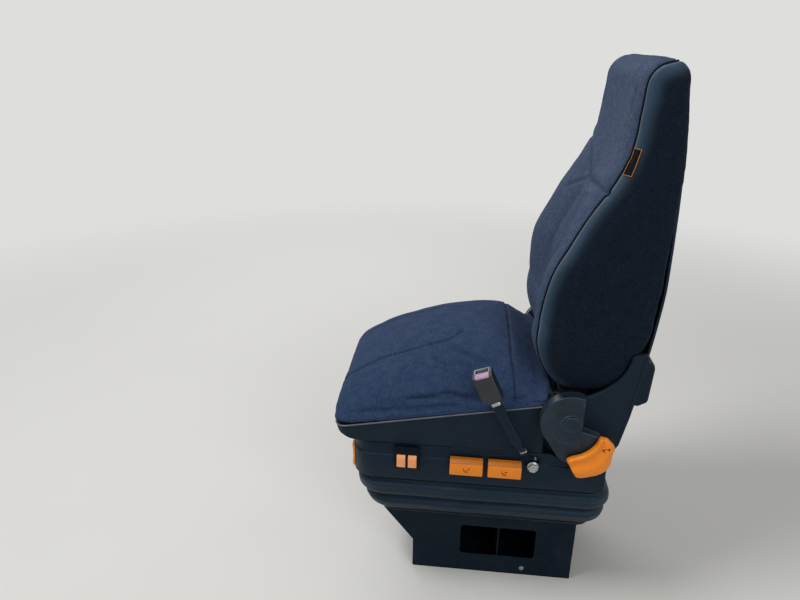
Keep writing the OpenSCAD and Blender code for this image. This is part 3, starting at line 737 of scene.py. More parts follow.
# how wear and dust lie on mouldings and on metal: scales, shares, dust colour, and how much each dulls
wearRules = {
    "plastic": {"scale": 55.0, "patch": 0.06, "scratch": 0.12, "dustScale": 30.0, "dust": "#7d7f7c",
                "dull": (0.04, 0.02, 0.4)},
    "metal": {"scale": 45.0, "patch": 0.07, "scratch": 0.25, "dustScale": 20.0, "dust": "#77736a",
              "dull": (0.2, 0.06, 0.45)},
}


def makeHard(name, look, rule):
    m, tree, shader = newMaterial(name, metallic=look.get("metallic", 0.0), gloss=look["gloss"],
                                  glossTint=look.get("glossTint", "#ffffff"))
    if "cells" in look:      # moulded, with a fine grain
        g = place(tree, grain, Cells=look["cells"], Mixed=0.4)
        height = g.outputs["Height"]
        colour = mixed(tree, part(tree, g.outputs["Pit"], 0.5), look["base"], look["pit"])
    else:      # painted or plated, with a faint orange peel
        height = noiseOf(tree, node(tree, "TexCoord").outputs["Object"], look["orange"], 3.0, 0.55)
        colour = look["base"]
    if name == "orangePlastic":      # the top strip of a lever is painted darker: painted shade where it faces up under the cushion pan
        stripShade = node(tree, "Attribute", attribute_name="strip").outputs["Fac"]
        colour = mixed(tree, part(tree, stripShade, 0.8), colour, "#9a560c")
    worn = place(tree, wear, Amount=look["wear"], Scale=rule["scale"]).outputs
    patch, scratch = part(tree, worn["Patch"], rule["patch"]), part(tree, worn["Scratch"], rule["scratch"])
    for mask in (patch, worn["Edge"], scratch):
        colour = mixed(tree, mask, colour, look["worn"])
    film = place(tree, dust, Amount=look["dust"], Scale=rule["dustScale"]).outputs["Mask"]
    patchy, less, dusty = rule["dull"]
    rough = calc(tree, "ADD", calc(tree, "MULTIPLY_ADD", worn["Patch"], patchy, look["rough"] - less),
                 part(tree, film, dusty), clamp=True)
    finish(tree, shader, mixed(tree, film, colour, rule["dust"]), rough, height, look["bump"])
    return m


# glossTint on the rubber tints its reflections bluish: painted blue sky light
rubberLook = {"base": "#13212c", "pit": "#0a131b", "streak": "#303c46", "worn": "#414c55", "dust": "#5c5d5a",
              "gloss": 0.42, "glossTint": "#9fc3e8", "cells": 1100.0, "wear": (0.5, 18.0),
              "film": (0.16, 16.0), "rough": 0.44, "bump": 0.00012, "lines": (6, 6, 90)}


def makeRubber():
    look = rubberLook
    m, tree, shader = newMaterial("bellowsRubber", gloss=look["gloss"], glossTint=look["glossTint"])
    g = place(tree, grain, Cells=look["cells"], Mixed=0.8).outputs
    worn = place(tree, wear, Amount=look["wear"][0], Scale=look["wear"][1]).outputs
    level = node(tree, "Mapping", node(tree, "TexCoord").outputs["Object"])
    level.inputs["Scale"].default_value = look["lines"]
    streak = ramp(tree, noiseOf(tree, level.outputs[0], 1.0, 3.0, 0.6), 0.45, 0.75)
    base = mixed(tree, part(tree, g["Pit"], 0.5), look["base"], look["pit"])
    litBands = mixed(tree, part(tree, streak, 0.2), base, look["streak"])
    edged = mixed(tree, part(tree, worn["Edge"], 0.7), litBands, look["worn"])
    film = place(tree, dust, Amount=look["film"][0], Scale=look["film"][1]).outputs["Mask"]
    rough = calc(tree, "MULTIPLY_ADD", worn["Patch"], 0.1, look["rough"])
    finish(tree, shader, mixed(tree, film, edged, look["dust"]), rough, g["Height"], look["bump"])
    return m


looks = {name: makeCloth(name) for name in clothLooks}
for made, rule in ((plasticLooks, "plastic"), (metalLooks, "metal")):
    looks.update({name: makeHard(name, look, wearRules[rule]) for name, look in made.items()})
looks["bellowsRubber"] = makeRubber()
print("materials made:", len(looks))

# CAD pieces that keep their own mesh get their finish in their slots

keptFinish = {
    "blackPaint": ["console_web", "lower_tray", "suspension_core", "upper_tray", "side_frame_left",
                   "side_frame_right", "cross_tubes", "tilt_frame", "back_frame"],
    "zincPlate": ["lower_rails", "upper_rails", "recliner_shaft", "belt_anchor"],
}
for look, names in keptFinish.items():
    for name in names:
        thing = nodes[name]
        thing.data.materials.clear()
        thing.data.materials.append(looks[look])

# Console: bent sheet with windows, standing on the floor

consoleShape = {
    "width": 330, "length": 410, "height": 190, "kickHeight": 86, "kickOut": 81, "sheet": 3,
    "window": (13, 100.7, 190, 90, 8), "bend": 5, "flange": (46, 190),
    "holes": (140, 170, 5.5), "screw": (80, 21),
}


def roundRect(y, z, w, h, r, segments=6):
    return rounded(rectangle(y - w / 2, y + w / 2, z - h / 2, z + h / 2), r, segments)


def hexHead(centre, across, height, flange, flangeHeight):
    # a hexagon head facing out, with a chamfered, slightly dished top on a tapered flange
    r = across / math.sqrt(3)
    corners = [math.radians(60 * k + 20) for k in range(6)]
    head = prism([(r * math.cos(a), r * math.sin(a)) for a in corners], 0, height, "z")
    cone = turned([(-1, r * 1.2), (height - 0.30 * (r - across / 2) * 1.7 - 0.6, r * 1.02),
                   (height + 0.02, across / 2 - 0.9), (height - 0.5, across / 2 - 2.6), (height - 0.7, 0.01),
                   (-1, 0.01)], axis="z", steps=48)
    collar = turned([(0, 0.01), (0, flange - 0.4), (0.4, flange), (0.9, flange), (flangeHeight, r * 0.98),
                     (flangeHeight, 0.01)], axis="z", steps=48)
    mesh = joined(carved(head, tidied(cone), operation="INTERSECT"), collar)
    turn = Matrix(((0, 0, 1), (0, 1, 0), (-1, 0, 0))).to_4x4()
    mesh.transform(Matrix.Translation(Vector(centre) * mm) @ turn)
    return tidied(mesh)


def makeConsole():
    c = consoleShape
    half, h, t = c["length"] / 2, c["height"], c["sheet"]
    outer = [(-half, 0), (half, 0), (half, h), (-half - c["kickOut"], h), (-half, c["kickHeight"])]
    rise = h - c["kickHeight"]
    lean = t * math.hypot(rise, c["kickOut"]) / rise
    inner = [(-half + t, -5), (half - t, -5), (half - t, h - t),
             (-half - c["kickOut"] * (rise - t) / rise + lean, h - t),
             (-half + t, c["kickHeight"] + (lean - t) * rise / c["kickOut"])]
    w = c["width"] / 2
    shell = prism(rounded(outer, [0, 0, c["bend"], c["bend"], 9]), -w, w)
    roundEdges(shell, 2.4, 4, 40, pick=lambda p: abs(abs(p.x) - w) < 0.5 and p.z > 0.5)
    tidied(shell)
    room = prism(rounded(inner, [0, 0, 2, 2, 6]), -w + t, w - t)
    window = prism(roundRect(*c["window"]), -w - 20, w + 20)
    shell = carved(shell, room, window)
    roundEdges(shell, 0.7, 2, 60, pick=lambda p: abs(p.x) > w - t - 0.2 and 50 < p.z < 150 and abs(p.y) < 110)
    parts = [tidied(shell)]
    deep, far = c["flange"]
    x, y, r = c["holes"]
    for s in (-1, 1):
        foot = [(s * w, -far), (s * w, far), (s * (w - deep), far), (s * (w - deep), -far)]
        plate = prism(foot, 0.05, t, "z", edge=0.5, segments=2)
        for k in (-1, 1):
            plate = carved(plate, prism(circle(s * x, k * y, r, 32), -2, 6, "z"))
        parts.append(plate)
    piece("console_shell", joined(*parts), "blackPaint", "base", "painted_steel", "console")
    # dark plates inside, behind the far window and on the floor, put in so that the inside of the console
    # lies in shade
    y, z, wide, tall, _ = c["window"]
    plate = prism(roundRect(y, z, wide + 24, tall + 22, 6), -w + t + 1, -w + t + 3, "x", edge=0.4, segments=2)
    ground = prism(roundRect(0, 0, c["length"] - 14, 2 * w - 14, 4), 0, 1, "z")
    setPoints(ground, pointsOf(ground)[:, [1, 0, 2]] * (1, 1, 2) + (0, 0, 0.1))
    piece("console_shade_plate", joined(plate, tidied(ground)), "blackPaint", "base", "painted_steel")
    screw = hexHead((w - 0.2, *c["screw"]), 8, 3.6, 6.5, 1.4)
    piece("console_screw", screw, "zincPlate", "base", "zinc")


makeConsole()
print("console made")

# Bellows between the two trays

bellowsShape = {
    "low": (182, -290, 235, 40), "high": (224, -325, 245, 40), "bottom": 196.2, "top": 328.8,
    "thick": 3.6, "fold": 10, "rings": 84, "side": 26, "corner": 18, "slack": 1.1, "straps": (5.5, -4.5, 4.0),
    "strap": [(0, -2.6), (0.8, -2.9), (1.2, -2.2), (1.2, 2.2), (0.8, 2.9), (0, 2.6)],
    "rows": [[0, 0, 0], [.07, 0, .15], [.14, .10, 1], [.26, .25, 1.9], [.37, .38, 1.9], [.46, .46, 1.2],
             [.52, .50, .2], [.58, .58, 1.2], [.68, .74, 1.9], [.79, .88, 1.6], [.89, 1, 1], [.95, 1, .1],
             [1, 1, 0]],
}


def bellowsRing(hx, y0, y1, r, z):
    s = bellowsShape
    corners = ((1, y1 - r, 0), (-1, y1 - r, 90), (-1, y0 + r, 180), (1, y0 + r, 270))
    out = []
    for k, (sx, cy, start) in enumerate(corners):
        for i in range(s["corner"] + 1):
            a = math.radians(start + 90 * i / s["corner"])
            out.append((sx * (hx - r) + r * math.cos(a), cy + r * math.sin(a), z))
        nx, ny, nstart = corners[(k + 1) % 4]
        a = math.radians(nstart)
        last, first = np.array(out[-1]), np.array((nx * (hx - r) + r * math.cos(a), ny + r * math.sin(a), z))
        out += [tuple(last + (first - last) * i / s["side"]) for i in range(1, s["side"])]
    return out


def makeBellows():
    s = bellowsShape
    rows = denser(s["rows"], s["rings"])

    def ring(row, inset):
        up, share, stand = row
        out = stand * s["fold"] + 0.35 + s["thick"] - inset
        hx, y0, y1, r = (a + share * (b - a) for a, b in zip(s["low"], s["high"]))
        return bellowsRing(hx + out, y0 - out, y1 + out, r + out, s["bottom"] + up * (s["top"] - s["bottom"]))

    outer = np.array([ring(r, 0) for r in rows])
    flat = outer.reshape(-1, 3)
    share = np.repeat(np.clip(1.2 - np.abs(rows[:, 0] - 0.5) * 2.4, 0, 1), outer.shape[1])
    wave = noise(flat * (1, 1, 3.0), 95, 3) * s["slack"] + noise(flat * (1, 1, 2.0), 38, 4) * s["slack"] * 0.4
    centre = flat * (1, 1, 0)
    away = centre / np.maximum(np.linalg.norm(centre, axis=1), 1)[:, None]
    flat = flat + away * (wave * share)[:, None]
    flat[:, 2] += noise(flat * (1, 1, 0.2), 150, 5) * 1.3 * share
    outer = flat.reshape(outer.shape)
    inner = np.array([ring(r, s["thick"]) for r in rows[::-1]])
    rings = np.concatenate([outer, inner, outer[:1]])
    mesh = lofted(rings, caps=False)
    piece("bellows_skin", mesh, "bellowsRubber", "base", "rubber", "bellows")
    down, up, out = s["straps"]
    for name, z in (("low", s["bottom"] + down), ("high", s["top"] + up)):
        hx, y0, y1, r = s[name]
        line = bellowsRing(hx + out, y0 - out, y1 + out, r + out, z)
        strap = lofted([[(p[0] * (1 + d / abs(hx)), p[1] * (1 + d / 280), z + dz) for p in line]
                        for d, dz in s["strap"]], caps=False)
        piece("bellows_strap_" + name, strap, "blackBlock", "base", "rubber")


makeBellows()
print("bellows made")

# Side housing with its ledge, slide bar, switches and levers

housingShape = {
    "half": 242, "front": -349, "rear": 235, "corner": 52, "top": 429, "ramp": (108, 52, 28),
    "bolt": (70, 405, 15),
    "bosses": [(-150, 373), (-20, 373), (205, 373)], "boss": (218, 239.5, 6),
    "section": [(-1.0, 335), (-0.3, 335.3), (0, 336.2), (0, 396.4), (-0.5, 398.2), (-2.0, 399.4),
                (-3.4, 400.0), (-3.9, 401.2), (-4.4, 404), (-6.2, 421), (-7.2, 425.4), (-9.0, 428.0),
                (-12, 429), (-19.2, 429),
                (-20, 428.2), (-20, 426.2), (-12, 426), (-10, 424.6), (-9.0, 421), (-7.0, 404), (-3.4, 396),
                (-3, 336.2), (-2.7, 335.3), (-2, 335)],
}


def frontPath(half, front, rear, r, arc=18, step=24):
    # plan line round the front with its outward normals, from the right rear to the left rear
    points, normal = [], []
    for y in np.linspace(rear, front + r, int((rear - front - r) / step))[:-1]:
        points.append((-half, y))
        normal.append((-1, 0))
    for k in range(arc + 1):
        a = math.radians(180 + 90 * k / arc)
        points.append((-half + r + r * math.cos(a), front + r + r * math.sin(a)))
        normal.append((math.cos(a), math.sin(a)))
    for x in np.linspace(-half + r, half - r, int((2 * half - 2 * r) / step))[1:-1]:
        points.append((x, front))
        normal.append((0, -1))
    for k in range(arc + 1):
        a = math.radians(270 + 90 * k / arc)
        points.append((half - r + r * math.cos(a), front + r + r * math.sin(a)))
        normal.append((math.cos(a), math.sin(a)))
    for y in np.linspace(front + r, rear, int((rear - front - r) / step))[1:]:
        points.append((half, y))
        normal.append((1, 0))
    return np.array(points), np.array(normal)


def swept(points, normal, section):
    # a closed section of (outward, height) carried along a plan line, with flat ends
    rings = [[(p[0] + n[0] * d, p[1] + n[1] * d, z) for d, z in section] for p, n in zip(points, normal)]
    m, k = len(rings), len(section)
    faces = []
    for a in range(m - 1):
        for i in range(k):
            j = (i + 1) % k
            faces.append([a * k + i, (a + 1) * k + i, (a + 1) * k + j, a * k + j])
    faces.append(list(range(k)))
    faces.append(list(range(m * k - 1, (m - 1) * k - 1, -1)))
    return tidied(meshOf("sweep", np.array(rings).reshape(-1, 3), faces))


def makeHousing():
    h = housingShape
    path, normal = frontPath(h["half"], h["front"], h["rear"], h["corner"])
    wall = swept(path, normal, h["section"])
    y, l, d = h["ramp"]
    top, end = h["top"], h["rear"] + 9
    slope = [(y - 6, top + 9), (y, top + 0.01), (y + l, top - d), (end, top - d), (end, top + 9)]
    ramp = prism(rounded(slope, [0, 4, 30, 0, 0]), -300, 300)
    wall = carved(wall, ramp, prism(circle(*h["bolt"], 40), -300, 300))
    roundEdges(wall, 0.6, 2, 55, pick=lambda p: p.y > 60)
    parts = [tidied(wall)]
    near, far, r = h["boss"]
    for y, z in h["bosses"]:
        for s in (-1, 1):
            boss = [(near * s, 0.01), (near * s, r), (far * s, r), (far * s, 0.01)]
            parts.append(turned(boss, (0, y, z), steps=24))
    piece("housing_shell", joined(*parts), "moulding", "carrier", "black_plastic", "housing")


makeHousing()

barShape = {"half": 242, "front": -349, "corner": 52, "reach": 212,
            "section": [(0.35, 340.4), (3.4, 340.2), (4.7, 341.2), (5, 342.8), (4.9, 350), (3.9, 358),
                        (3.6, 367.5), (3.9, 377), (4.9, 385), (5, 392.2), (4.7, 393.9), (3.4, 394.8),
                        (0.35, 394.6)],
            # towards each end: shares of its height and of how proud it stands
            "ends": [(0.86, 0.55), (0.955, 0.86), (0.99, 0.97)]}


def makeSlideBar():
    b = barShape
    path, normal = frontPath(b["half"], b["front"], 0, b["corner"], 40)
    keep = (np.abs(path[:, 0]) <= b["reach"] + 0.01) & (path[:, 1] < b["front"] + b["corner"])
    path, normal = path[keep], normal[keep]
    section, base = np.array(b["section"]), b["section"][0][0]
    middle = section[:, 1].mean()
    rings = []
    for k, (p, n) in enumerate(zip(path, normal)):
        near = min(k, len(path) - 1 - k)
        tall, proud = b["ends"][near] if near < len(b["ends"]) else (1.0, 1.0)
        out, up = base + (section[:, 0] - base) * proud, middle + (section[:, 1] - middle) * tall
        rings.append([(p[0] + n[0] * d, p[1] + n[1] * d, z) for d, z in zip(out, up)])
    piece("slide_bar_grip", lofted(rings), "orangePlastic", "carrier", "orange_plastic", "slide_bar")


makeSlideBar()

switchShape = {"face": 242, "bezel": 8, "y": -217, "pitch": 26, "width": 20, "low": 375, "high": 408,
               "block": (-246.5, -187.5, 370, 429)}


def makeSwitches():
    s = switchShape
    y0, y1, z0, z1 = s["block"]
    face, low, high, wide = s["face"], s["low"], s["high"], s["width"]
    middle, tall = (low + high) / 2, high - low
    outline = roundRect((y0 + y1) / 2, (z0 + z1) / 2, y1 - y0, z1 - z0, 2.5)
    block = prism(outline, face - 2, face + s["bezel"], edge=1.1)
    places = [s["y"] - s["pitch"] / 2, s["y"] + s["pitch"] / 2]
    holes = [prism(roundRect(y, middle, wide + 1.2, tall + 1.2, 1.2), face - 1, face + 20) for y in places]
    block = carved(block, *holes)
    back = prism(roundRect(s["y"], middle, s["pitch"] + wide + 1, tall + 1, 1), face - 2, face - 0.5)
    piece("switch_block", joined(block, back), "blackBlock", "carrier", "black_plastic", "switch_bezel")
    profile = [(0, low), (10.2, low), (12.6, low + 2.6), (11.7, low + 12), (12.2, low + 21), (11.4, low + 26),
               (8.2, high - 0.6), (7, high), (0, high)]
    outline = [(face + x, z) for x, z in rounded(profile, [0, 1.5, 1.6, 10, 4, 3, 1, 1, 0], 4)]
    rockers = [prism(outline, y - wide / 2, y + wide / 2, "y", edge=0.9) for y in places]
    piece("switch_rockers", joined(*rockers), "switchOrange", "carrier", "orange_plastic", "air_switches")


makeSwitches()


def inked(mesh, strokes, centre, radius=0.6, turn=0.0):
    # a plain symbol: each stroke is laid on a face across X as a thin raised line
    b = bmesh.new()
    b.from_mesh(mesh)
    tree = BVHTree.FromBMesh(b)
    b.free()
    c, s = math.cos(math.radians(turn)), math.sin(math.radians(turn))
    parts = []
    for stroke in strokes:
        laid = []
        for u, v, _ in curveThrough([(u, v, 0) for u, v in stroke], 0.8):
            at = Vector((400, centre[0] + u * c - v * s, centre[1] + u * s + v * c)) * mm
            where, _, _, _ = tree.ray_cast(at, Vector((-1, 0, 0)))
            laid.append(np.array(where) / mm + (0.05, 0, 0))
        parts.append(tubed(laid, radius, 6))
    return joined(*parts)


leverShape = {"face": 242.3, "low": 368, "high": 410, "length": 75, "tilt": -117, "depth": -30,
              "profile": [(0, 5), (6, 2), (16, 2), (19.6, 4.6), (20.4, 18), (20.6, 32.8), (19.2, 35.6),
                          (12.4, 40.8), (9.6, 42), (0, 42)],
              "radii": [0, 3, 2.4, 2.6, 20, 1.4, 1.0, 4, 1.2, 0], "strip": 35.2,
              "seat": [[(-6.5, 5.5), (-5.2, -1), (-4, -4), (0, -5), (5, -5)], [(-4.6, -0.6), (2.5, -1.6)]],
              "tiltMark": [[(2.5, 1), (5.4, 2.4), (6.6, 5)], [(4.6, 4.8), (6.6, 5.2), (7.4, 3.2)]],
              "depthMark": [[(1, 3.2), (7, 3.2)], [(2.6, 5), (0.8, 3.2), (2.6, 1.4)]]}


def makeLever(name, y, marks, stands):
    s = leverShape
    outline = [(s["face"] + x, s["low"] + z) for x, z in rounded(s["profile"], s["radii"], 4)]
    body = prism(outline, y, y + s["length"], "y", edge=1.5, segments=4, limit=50)
    # the top strip is marked for its painted shade
    mark(body, "strip", pointsOf(body)[:, 2] > s["low"] + s["strip"])
    symbol = inked(body, s["seat"] + marks, (y + s["length"] / 2, s["low"] + 19))
    piece(name, body, "orangePlastic", "carrier", "orange_plastic", stands)
    piece(name + "_symbol", symbol, "blackBlock", "carrier", "black_plastic")


makeLever("lever_tilt", leverShape["tilt"], leverShape["tiltMark"], "tilt_lever")
makeLever("lever_depth", leverShape["depth"], leverShape["depthMark"], "depth_lever")
print("housing, bar, switches and levers made")

# Belt bolt: spacer, washer and flanged hexagon head

boltShape = {"y": 70, "z": 405, "spacer": (218, 247.4, 11), "shank": (204, 256, 5.8),
             "washer": (253.5, 256, 13), "head": (19, 8.0, 12.2, 2.2)}


def makeBolt():
    b = boltShape
    at = (0, b["y"], b["z"])
    low, high, r = b["spacer"]
    spacer = turned([(low, 0.01), (low, r), (high - 0.8, r), (high, r - 0.8), (high, 0.01)], at, steps=40)
    low, high, r = b["shank"]
    shank = turned([(low, 0.01), (low, r - 0.8), (low + 0.8, r), (high, r), (high, 0.01)], at, steps=32)
    low, high, r = b["washer"]
    washer = turned([(low, 0.01), (low, r - 0.5), (low + 0.5, r), (high - 0.5, r), (high, r - 0.6),
                     (high, 0.01)], at, steps=48)
    head = hexHead((high - 0.1, b["y"], b["z"]), *b["head"])
    mesh = joined(spacer, shank, washer, head)
    piece("belt_bolt_set", mesh, "brightSteel", "carrier", "zinc", "belt_bolt")


makeBolt()

# Belt buckle on its cranked stalk

buckleShape = {
    "foot": (0, 70, 405), "lean": 29, "place": (275, 0, 203), "up": -4, "turn": -10,
    "body": (26, 44, 76), "slot": (-9, 0.6, 15, 44), "button": (3.4, 12.9, 15.8, 63.4, 77.2),
    "bar": [(250, -2), (250, 24), (251.5, 30), (273.5, 68), (275, 74), (275, 203)], "barWidth": 18,
    "sleeve": (66, 190), "collar": (190, 199), "clip": (50, 56),
    "eye": [(248, 6.1), (248, 13.4), (248.6, 14), (251.4, 14), (252, 13.4), (252, 6.1)],
    "ribs": [(66, 13.4), (67, 16.4), (70, 16.4), (71.4, 13.8), (73.4, 13.8), (74.4, 16.8), (77, 16.8),
             (78.2, 14.2), (80, 14.2), (81, 17.4), (84, 17.8), (88, 20.6), (94, 21.5), (186, 22.2),
             (190, 22.6)],
    "tops": (76, 66.6),
}


def buckleFrames():
    b = buckleShape
    lean, up, turn = (math.radians(b[k]) for k in ("lean", "up", "turn"))
    stalk = Matrix.Translation(Vector(b["foot"]) * mm) @ Matrix.Rotation(lean, 4, "X")
    body = (stalk @ Matrix.Translation(Vector(b["place"]) * mm) @ Matrix.Rotation(up, 4, "X")
            @ Matrix.Rotation(turn, 4, "Z"))
    return stalk, body


def barSection(x, z, dx, dz, width, thick, r, segments=3):
    # a rounded flat section across a line in X and Z
    section = rounded(rectangle(-thick / 2, thick / 2, -width / 2, width / 2), r, segments)
    return [(x + s * dz, y, z - s * dx) for s, y in section]


def makeBuckle():
    b = buckleShape
    stalk, frameBody = buckleFrames()
    line = curveThrough([(x, 0, z) for x, z in b["bar"]], 5)
    ahead = headings(line)

    def onLine(up):
        # the place and the heading of the stalk at a height
        return [np.interp(up, line[:, 2], a[:, k]) for a in (line, ahead) for k in (0, 2)]

    def stalkPiece(name, mesh, look, *stands):
        mesh.transform(stalk)
        piece(name, mesh, look, "buckle", "painted_steel", *stands)

    bar = [barSection(p[0], p[2], a[0], a[2], b["barWidth"] - 5 * float(smoothstep(16, 34, p[2])),
                      4 + 1.6 * smoothstep(30, 70, p[2]), 1.2) for p, a in zip(line, ahead) if p[2] < 200]
    stalkPiece("stalk_bar", joined(lofted(bar), turned(b["eye"], steps=40)), "blackPaint", "buckle_stalk")
    lo, hi = b["sleeve"]
    rings = []
    ribs = np.array(b["ribs"])
    for up in sorted(set(np.linspace(lo, hi, 60)) | set(ribs[:, 0])):
        wide = float(np.interp(up, ribs[:, 0], ribs[:, 1]))
        rings.append(barSection(*onLine(up), wide, 0.44 * wide, 0.155 * wide, 5))
    first, last = np.array(rings[0]), np.array(rings[-1])
    start = first.mean(0) + (first - first.mean(0)) * 0.82
    end = last.mean(0) + (last - last.mean(0)) * 0.9
    stalkPiece("stalk_sleeve", lofted([start] + rings + [end]), "moulding")
    lo, hi = b["clip"]
    clip = []
    for up, d in ((lo, 1.2), (lo + 0.6, 0), (hi - 0.6, 0), (hi, 1.2)):
        x, _, dx, dz = onLine(up)
        clip.append(barSection(x, up, dx, dz, 15.4 - d, 7.6 - d, 2.0, 4))
    stalkPiece("stalk_clip", lofted(clip), "rimPlastic")
    lo, hi = b["collar"]
    collar = [barSection(275, z, 0, 1, 20.4 - d, 11 - d, 3.2, 4)
              for z, d in ((lo, 1.6), (lo + 0.8, 0), (hi - 2, 0), (hi - 0.6, 0.8), (hi, 2.2))]
    stalkPiece("stalk_collar", lofted(collar), "brightSteel")

    thick, wide, tall = b["body"]
    outline = rounded(rectangle(-wide / 2, wide / 2, 0, tall), [9, 9, 5, 5], 6)
    body = prism(outline, -thick / 2, thick / 2, edge=2.6, segments=4)
    x0, x1, half, z0 = b["slot"]
    slot = prism(rounded(rectangle(x0, x1, -half, half), 1.6, 4), z0, tall + 9, "z")

    def above(gap):
        # everything above the slanted top
        a, c = b["tops"]
        drop = (a - c) / thick
        left, right, out = a + drop * 9 + gap, c - drop * 9 + gap, thick / 2 + 9
        return prism([(-out, left), (out, right), (out, 120), (-out, 120)], -60, 60, "y")

    bx0, bx1, by, bz0, bz1 = b["button"]
    bay = prism(rounded(rectangle(bx0 - 0.5, bx1 + 9, -by - 0.5, by + 0.5), 0.8, 3), bz0 - 0.6, tall + 9, "z")
    seam = prism(rectangle(-0.35, 0.35, -wide, wide), -2, tall - 15, "z")
    seam = carved(seam, prism(roundRect(0, tall / 2, wide - 1.4, tall - 1.4, 5), -3, 3))
    body = carved(body, above(0), slot, bay, seam)
    roundEdges(body, 0.5, 2, 60, pick=lambda p: p.z > bz0 - 2)
    body = tidied(body)
    body.transform(frameBody)
    piece("buckle_case", body, "satinPlastic", "buckle", "black_plastic", "buckle_body")
    outline = rounded(rectangle(bx0, bx1, -by, by), [1, 2.4, 2.4, 1], 5)
    button = carved(prism(outline, bz0, bz1, "z", edge=1.3, segments=4, limit=50), above(1.5))
    roundEdges(button, 0.5, 2, 50)
    button = tidied(button)
    button.transform(frameBody)
    piece("buckle_press", button, "rosePlastic", "buckle", "rose_plastic", "buckle_button")
    rim = prism(rounded(rectangle(x0 - 1.4, x1 + 1.4, -half - 1.6, half + 1.6), 2.4, 4), 58, tall + 4, "z")
    hole = prism(rounded(rectangle(x0, x1, -half, half), 1.2, 4), 50, tall + 9, "z")
    rim = carved(rim, hole, above(0.7))
    rim.transform(frameBody)
    piece("buckle_slot_rim", rim, "rimPlastic", "buckle", "black_plastic")


makeBuckle()
print("buckle made")

# Recliner covers, each with its hub cap

coverShape = {"hinge": (140, 535), "radius": 67, "inner": 249, "outer": 275, "split": 24,
              "skirt": [(-62, -25), (-20, -92), (10, -108), (62, -120), (84, -60), (64, -30), (24, -18)],
              # along the hinge from the outer face, and the radius: the dish cut in it, and the hub cap
              "dish": [(4, 0.01), (4, 50), (-0.2, 50), (-1.6, 46), (-1.8, 24), (-1.8, 0.01)],
              "cap": [(-4, 0.01), (-4, 22), (-1.2, 22), (-0.4, 21.2), (-0.2, 18.6), (2.0, 18), (2.8, 16.6),
                      (3, 14), (2.6, 8), (2.5, 0.01)]}


def sideName(side):
    return "left" if side > 0 else "right"


def mirrored(mesh, side, y, z):
    # a mesh made for the left at the hinge, moved to its place on either side
    setPoints(mesh, pointsOf(mesh) * (side, 1, 1) + (0, y, z))
    return tidied(mesh)


def makeCover(side):
    c = coverShape
    y, z = c["hinge"]
    r = c["radius"]
    arc = math.acos(c["split"] / r)
    outline = [(r * math.cos(a), r * math.sin(a)) for a in np.linspace(arc, 2 * math.pi - arc, 60)]
    outline = rounded(outline, [4] + [0] * 58 + [4], 5)
    disc = prism(outline, c["inner"], c["outer"])
    roundEdges(disc, 4.2, 5, 50, pick=lambda p: p.x > c["outer"] - 1)
    roundEdges(disc, 1.0, 2, 50, pick=lambda p: p.x < c["inner"] + 1)
    dish, cap = ([(c["outer"] + t, r) for t, r in c[k]] for k in ("dish", "cap"))
    disc = carved(tidied(disc), tidied(turned(dish, steps=90)))
    parts = [disc, turned(cap)]
    if side > 0:
        skirt = prism(rounded(c["skirt"], [20, 14, 10, 12, 16, 12, 6], 6), c["inner"], c["outer"] - 3.0)
        roundEdges(skirt, 3.4, 4, 50, pick=lambda p: p.x > c["outer"] - 4)
        parts.append(tidied(skirt))
    mesh, name = mirrored(joined(*parts), side, y, z), sideName(side)
    piece("recliner_cap_" + name, mesh, "coverPlastic", "carrier", "black_plastic", "recliner_cover_" + name)


for side in (1, -1):
    makeCover(side)

gripShape = {
    "hinge": (140, 535), "low": 275.2, "high": 292.2, "steps": 48, "bulge": 5,
    "inner": [(-4, -86), (6, -79), (17, -75), (29, -69.5), (39, -62), (47, -54), (53, -46), (57, -38),
              (60, -29), (63, -23)],
    "outer": [(21, -131), (36, -130.5), (51, -126), (67, -120), (81, -110), (90, -96), (92.5, -80), (93, -64),
              (96, -51), (93, -41)],
    # across the grip from its inner edge: share of the width, and millimetres below the highest place
    "across": [(0, 8), (.012, 5), (.04, 2.8), (.08, 2), (.12, 2.6), (.18, 5.0), (.26, 6.4), (.36, 4.6),
               (.46, 1.8), (.55, .3), (.64, 0), (.74, .6), (.84, 2.4), (.92, 5.2), (.975, 9), (1, 13)],
    "mark": [[(-6, -5), (-4, 1), (0, 4.5), (5, 5.5)], [(2.4, 8.4), (5.6, 5.4), (2.6, 2.4)],
             [(-7, -1), (-1, -6)]],
    "markAt": (76, -50),
}


def evenly(points, count):
    line = curveThrough([(a, b, 0) for a, b in points], 1.5)[:, :2]
    run = np.concatenate([[0], np.cumsum(np.linalg.norm(np.diff(line, axis=0), axis=1))])
    at = np.linspace(0, run[-1], count)
    return np.column_stack([np.interp(at, run, line[:, k]) for k in (0, 1)])


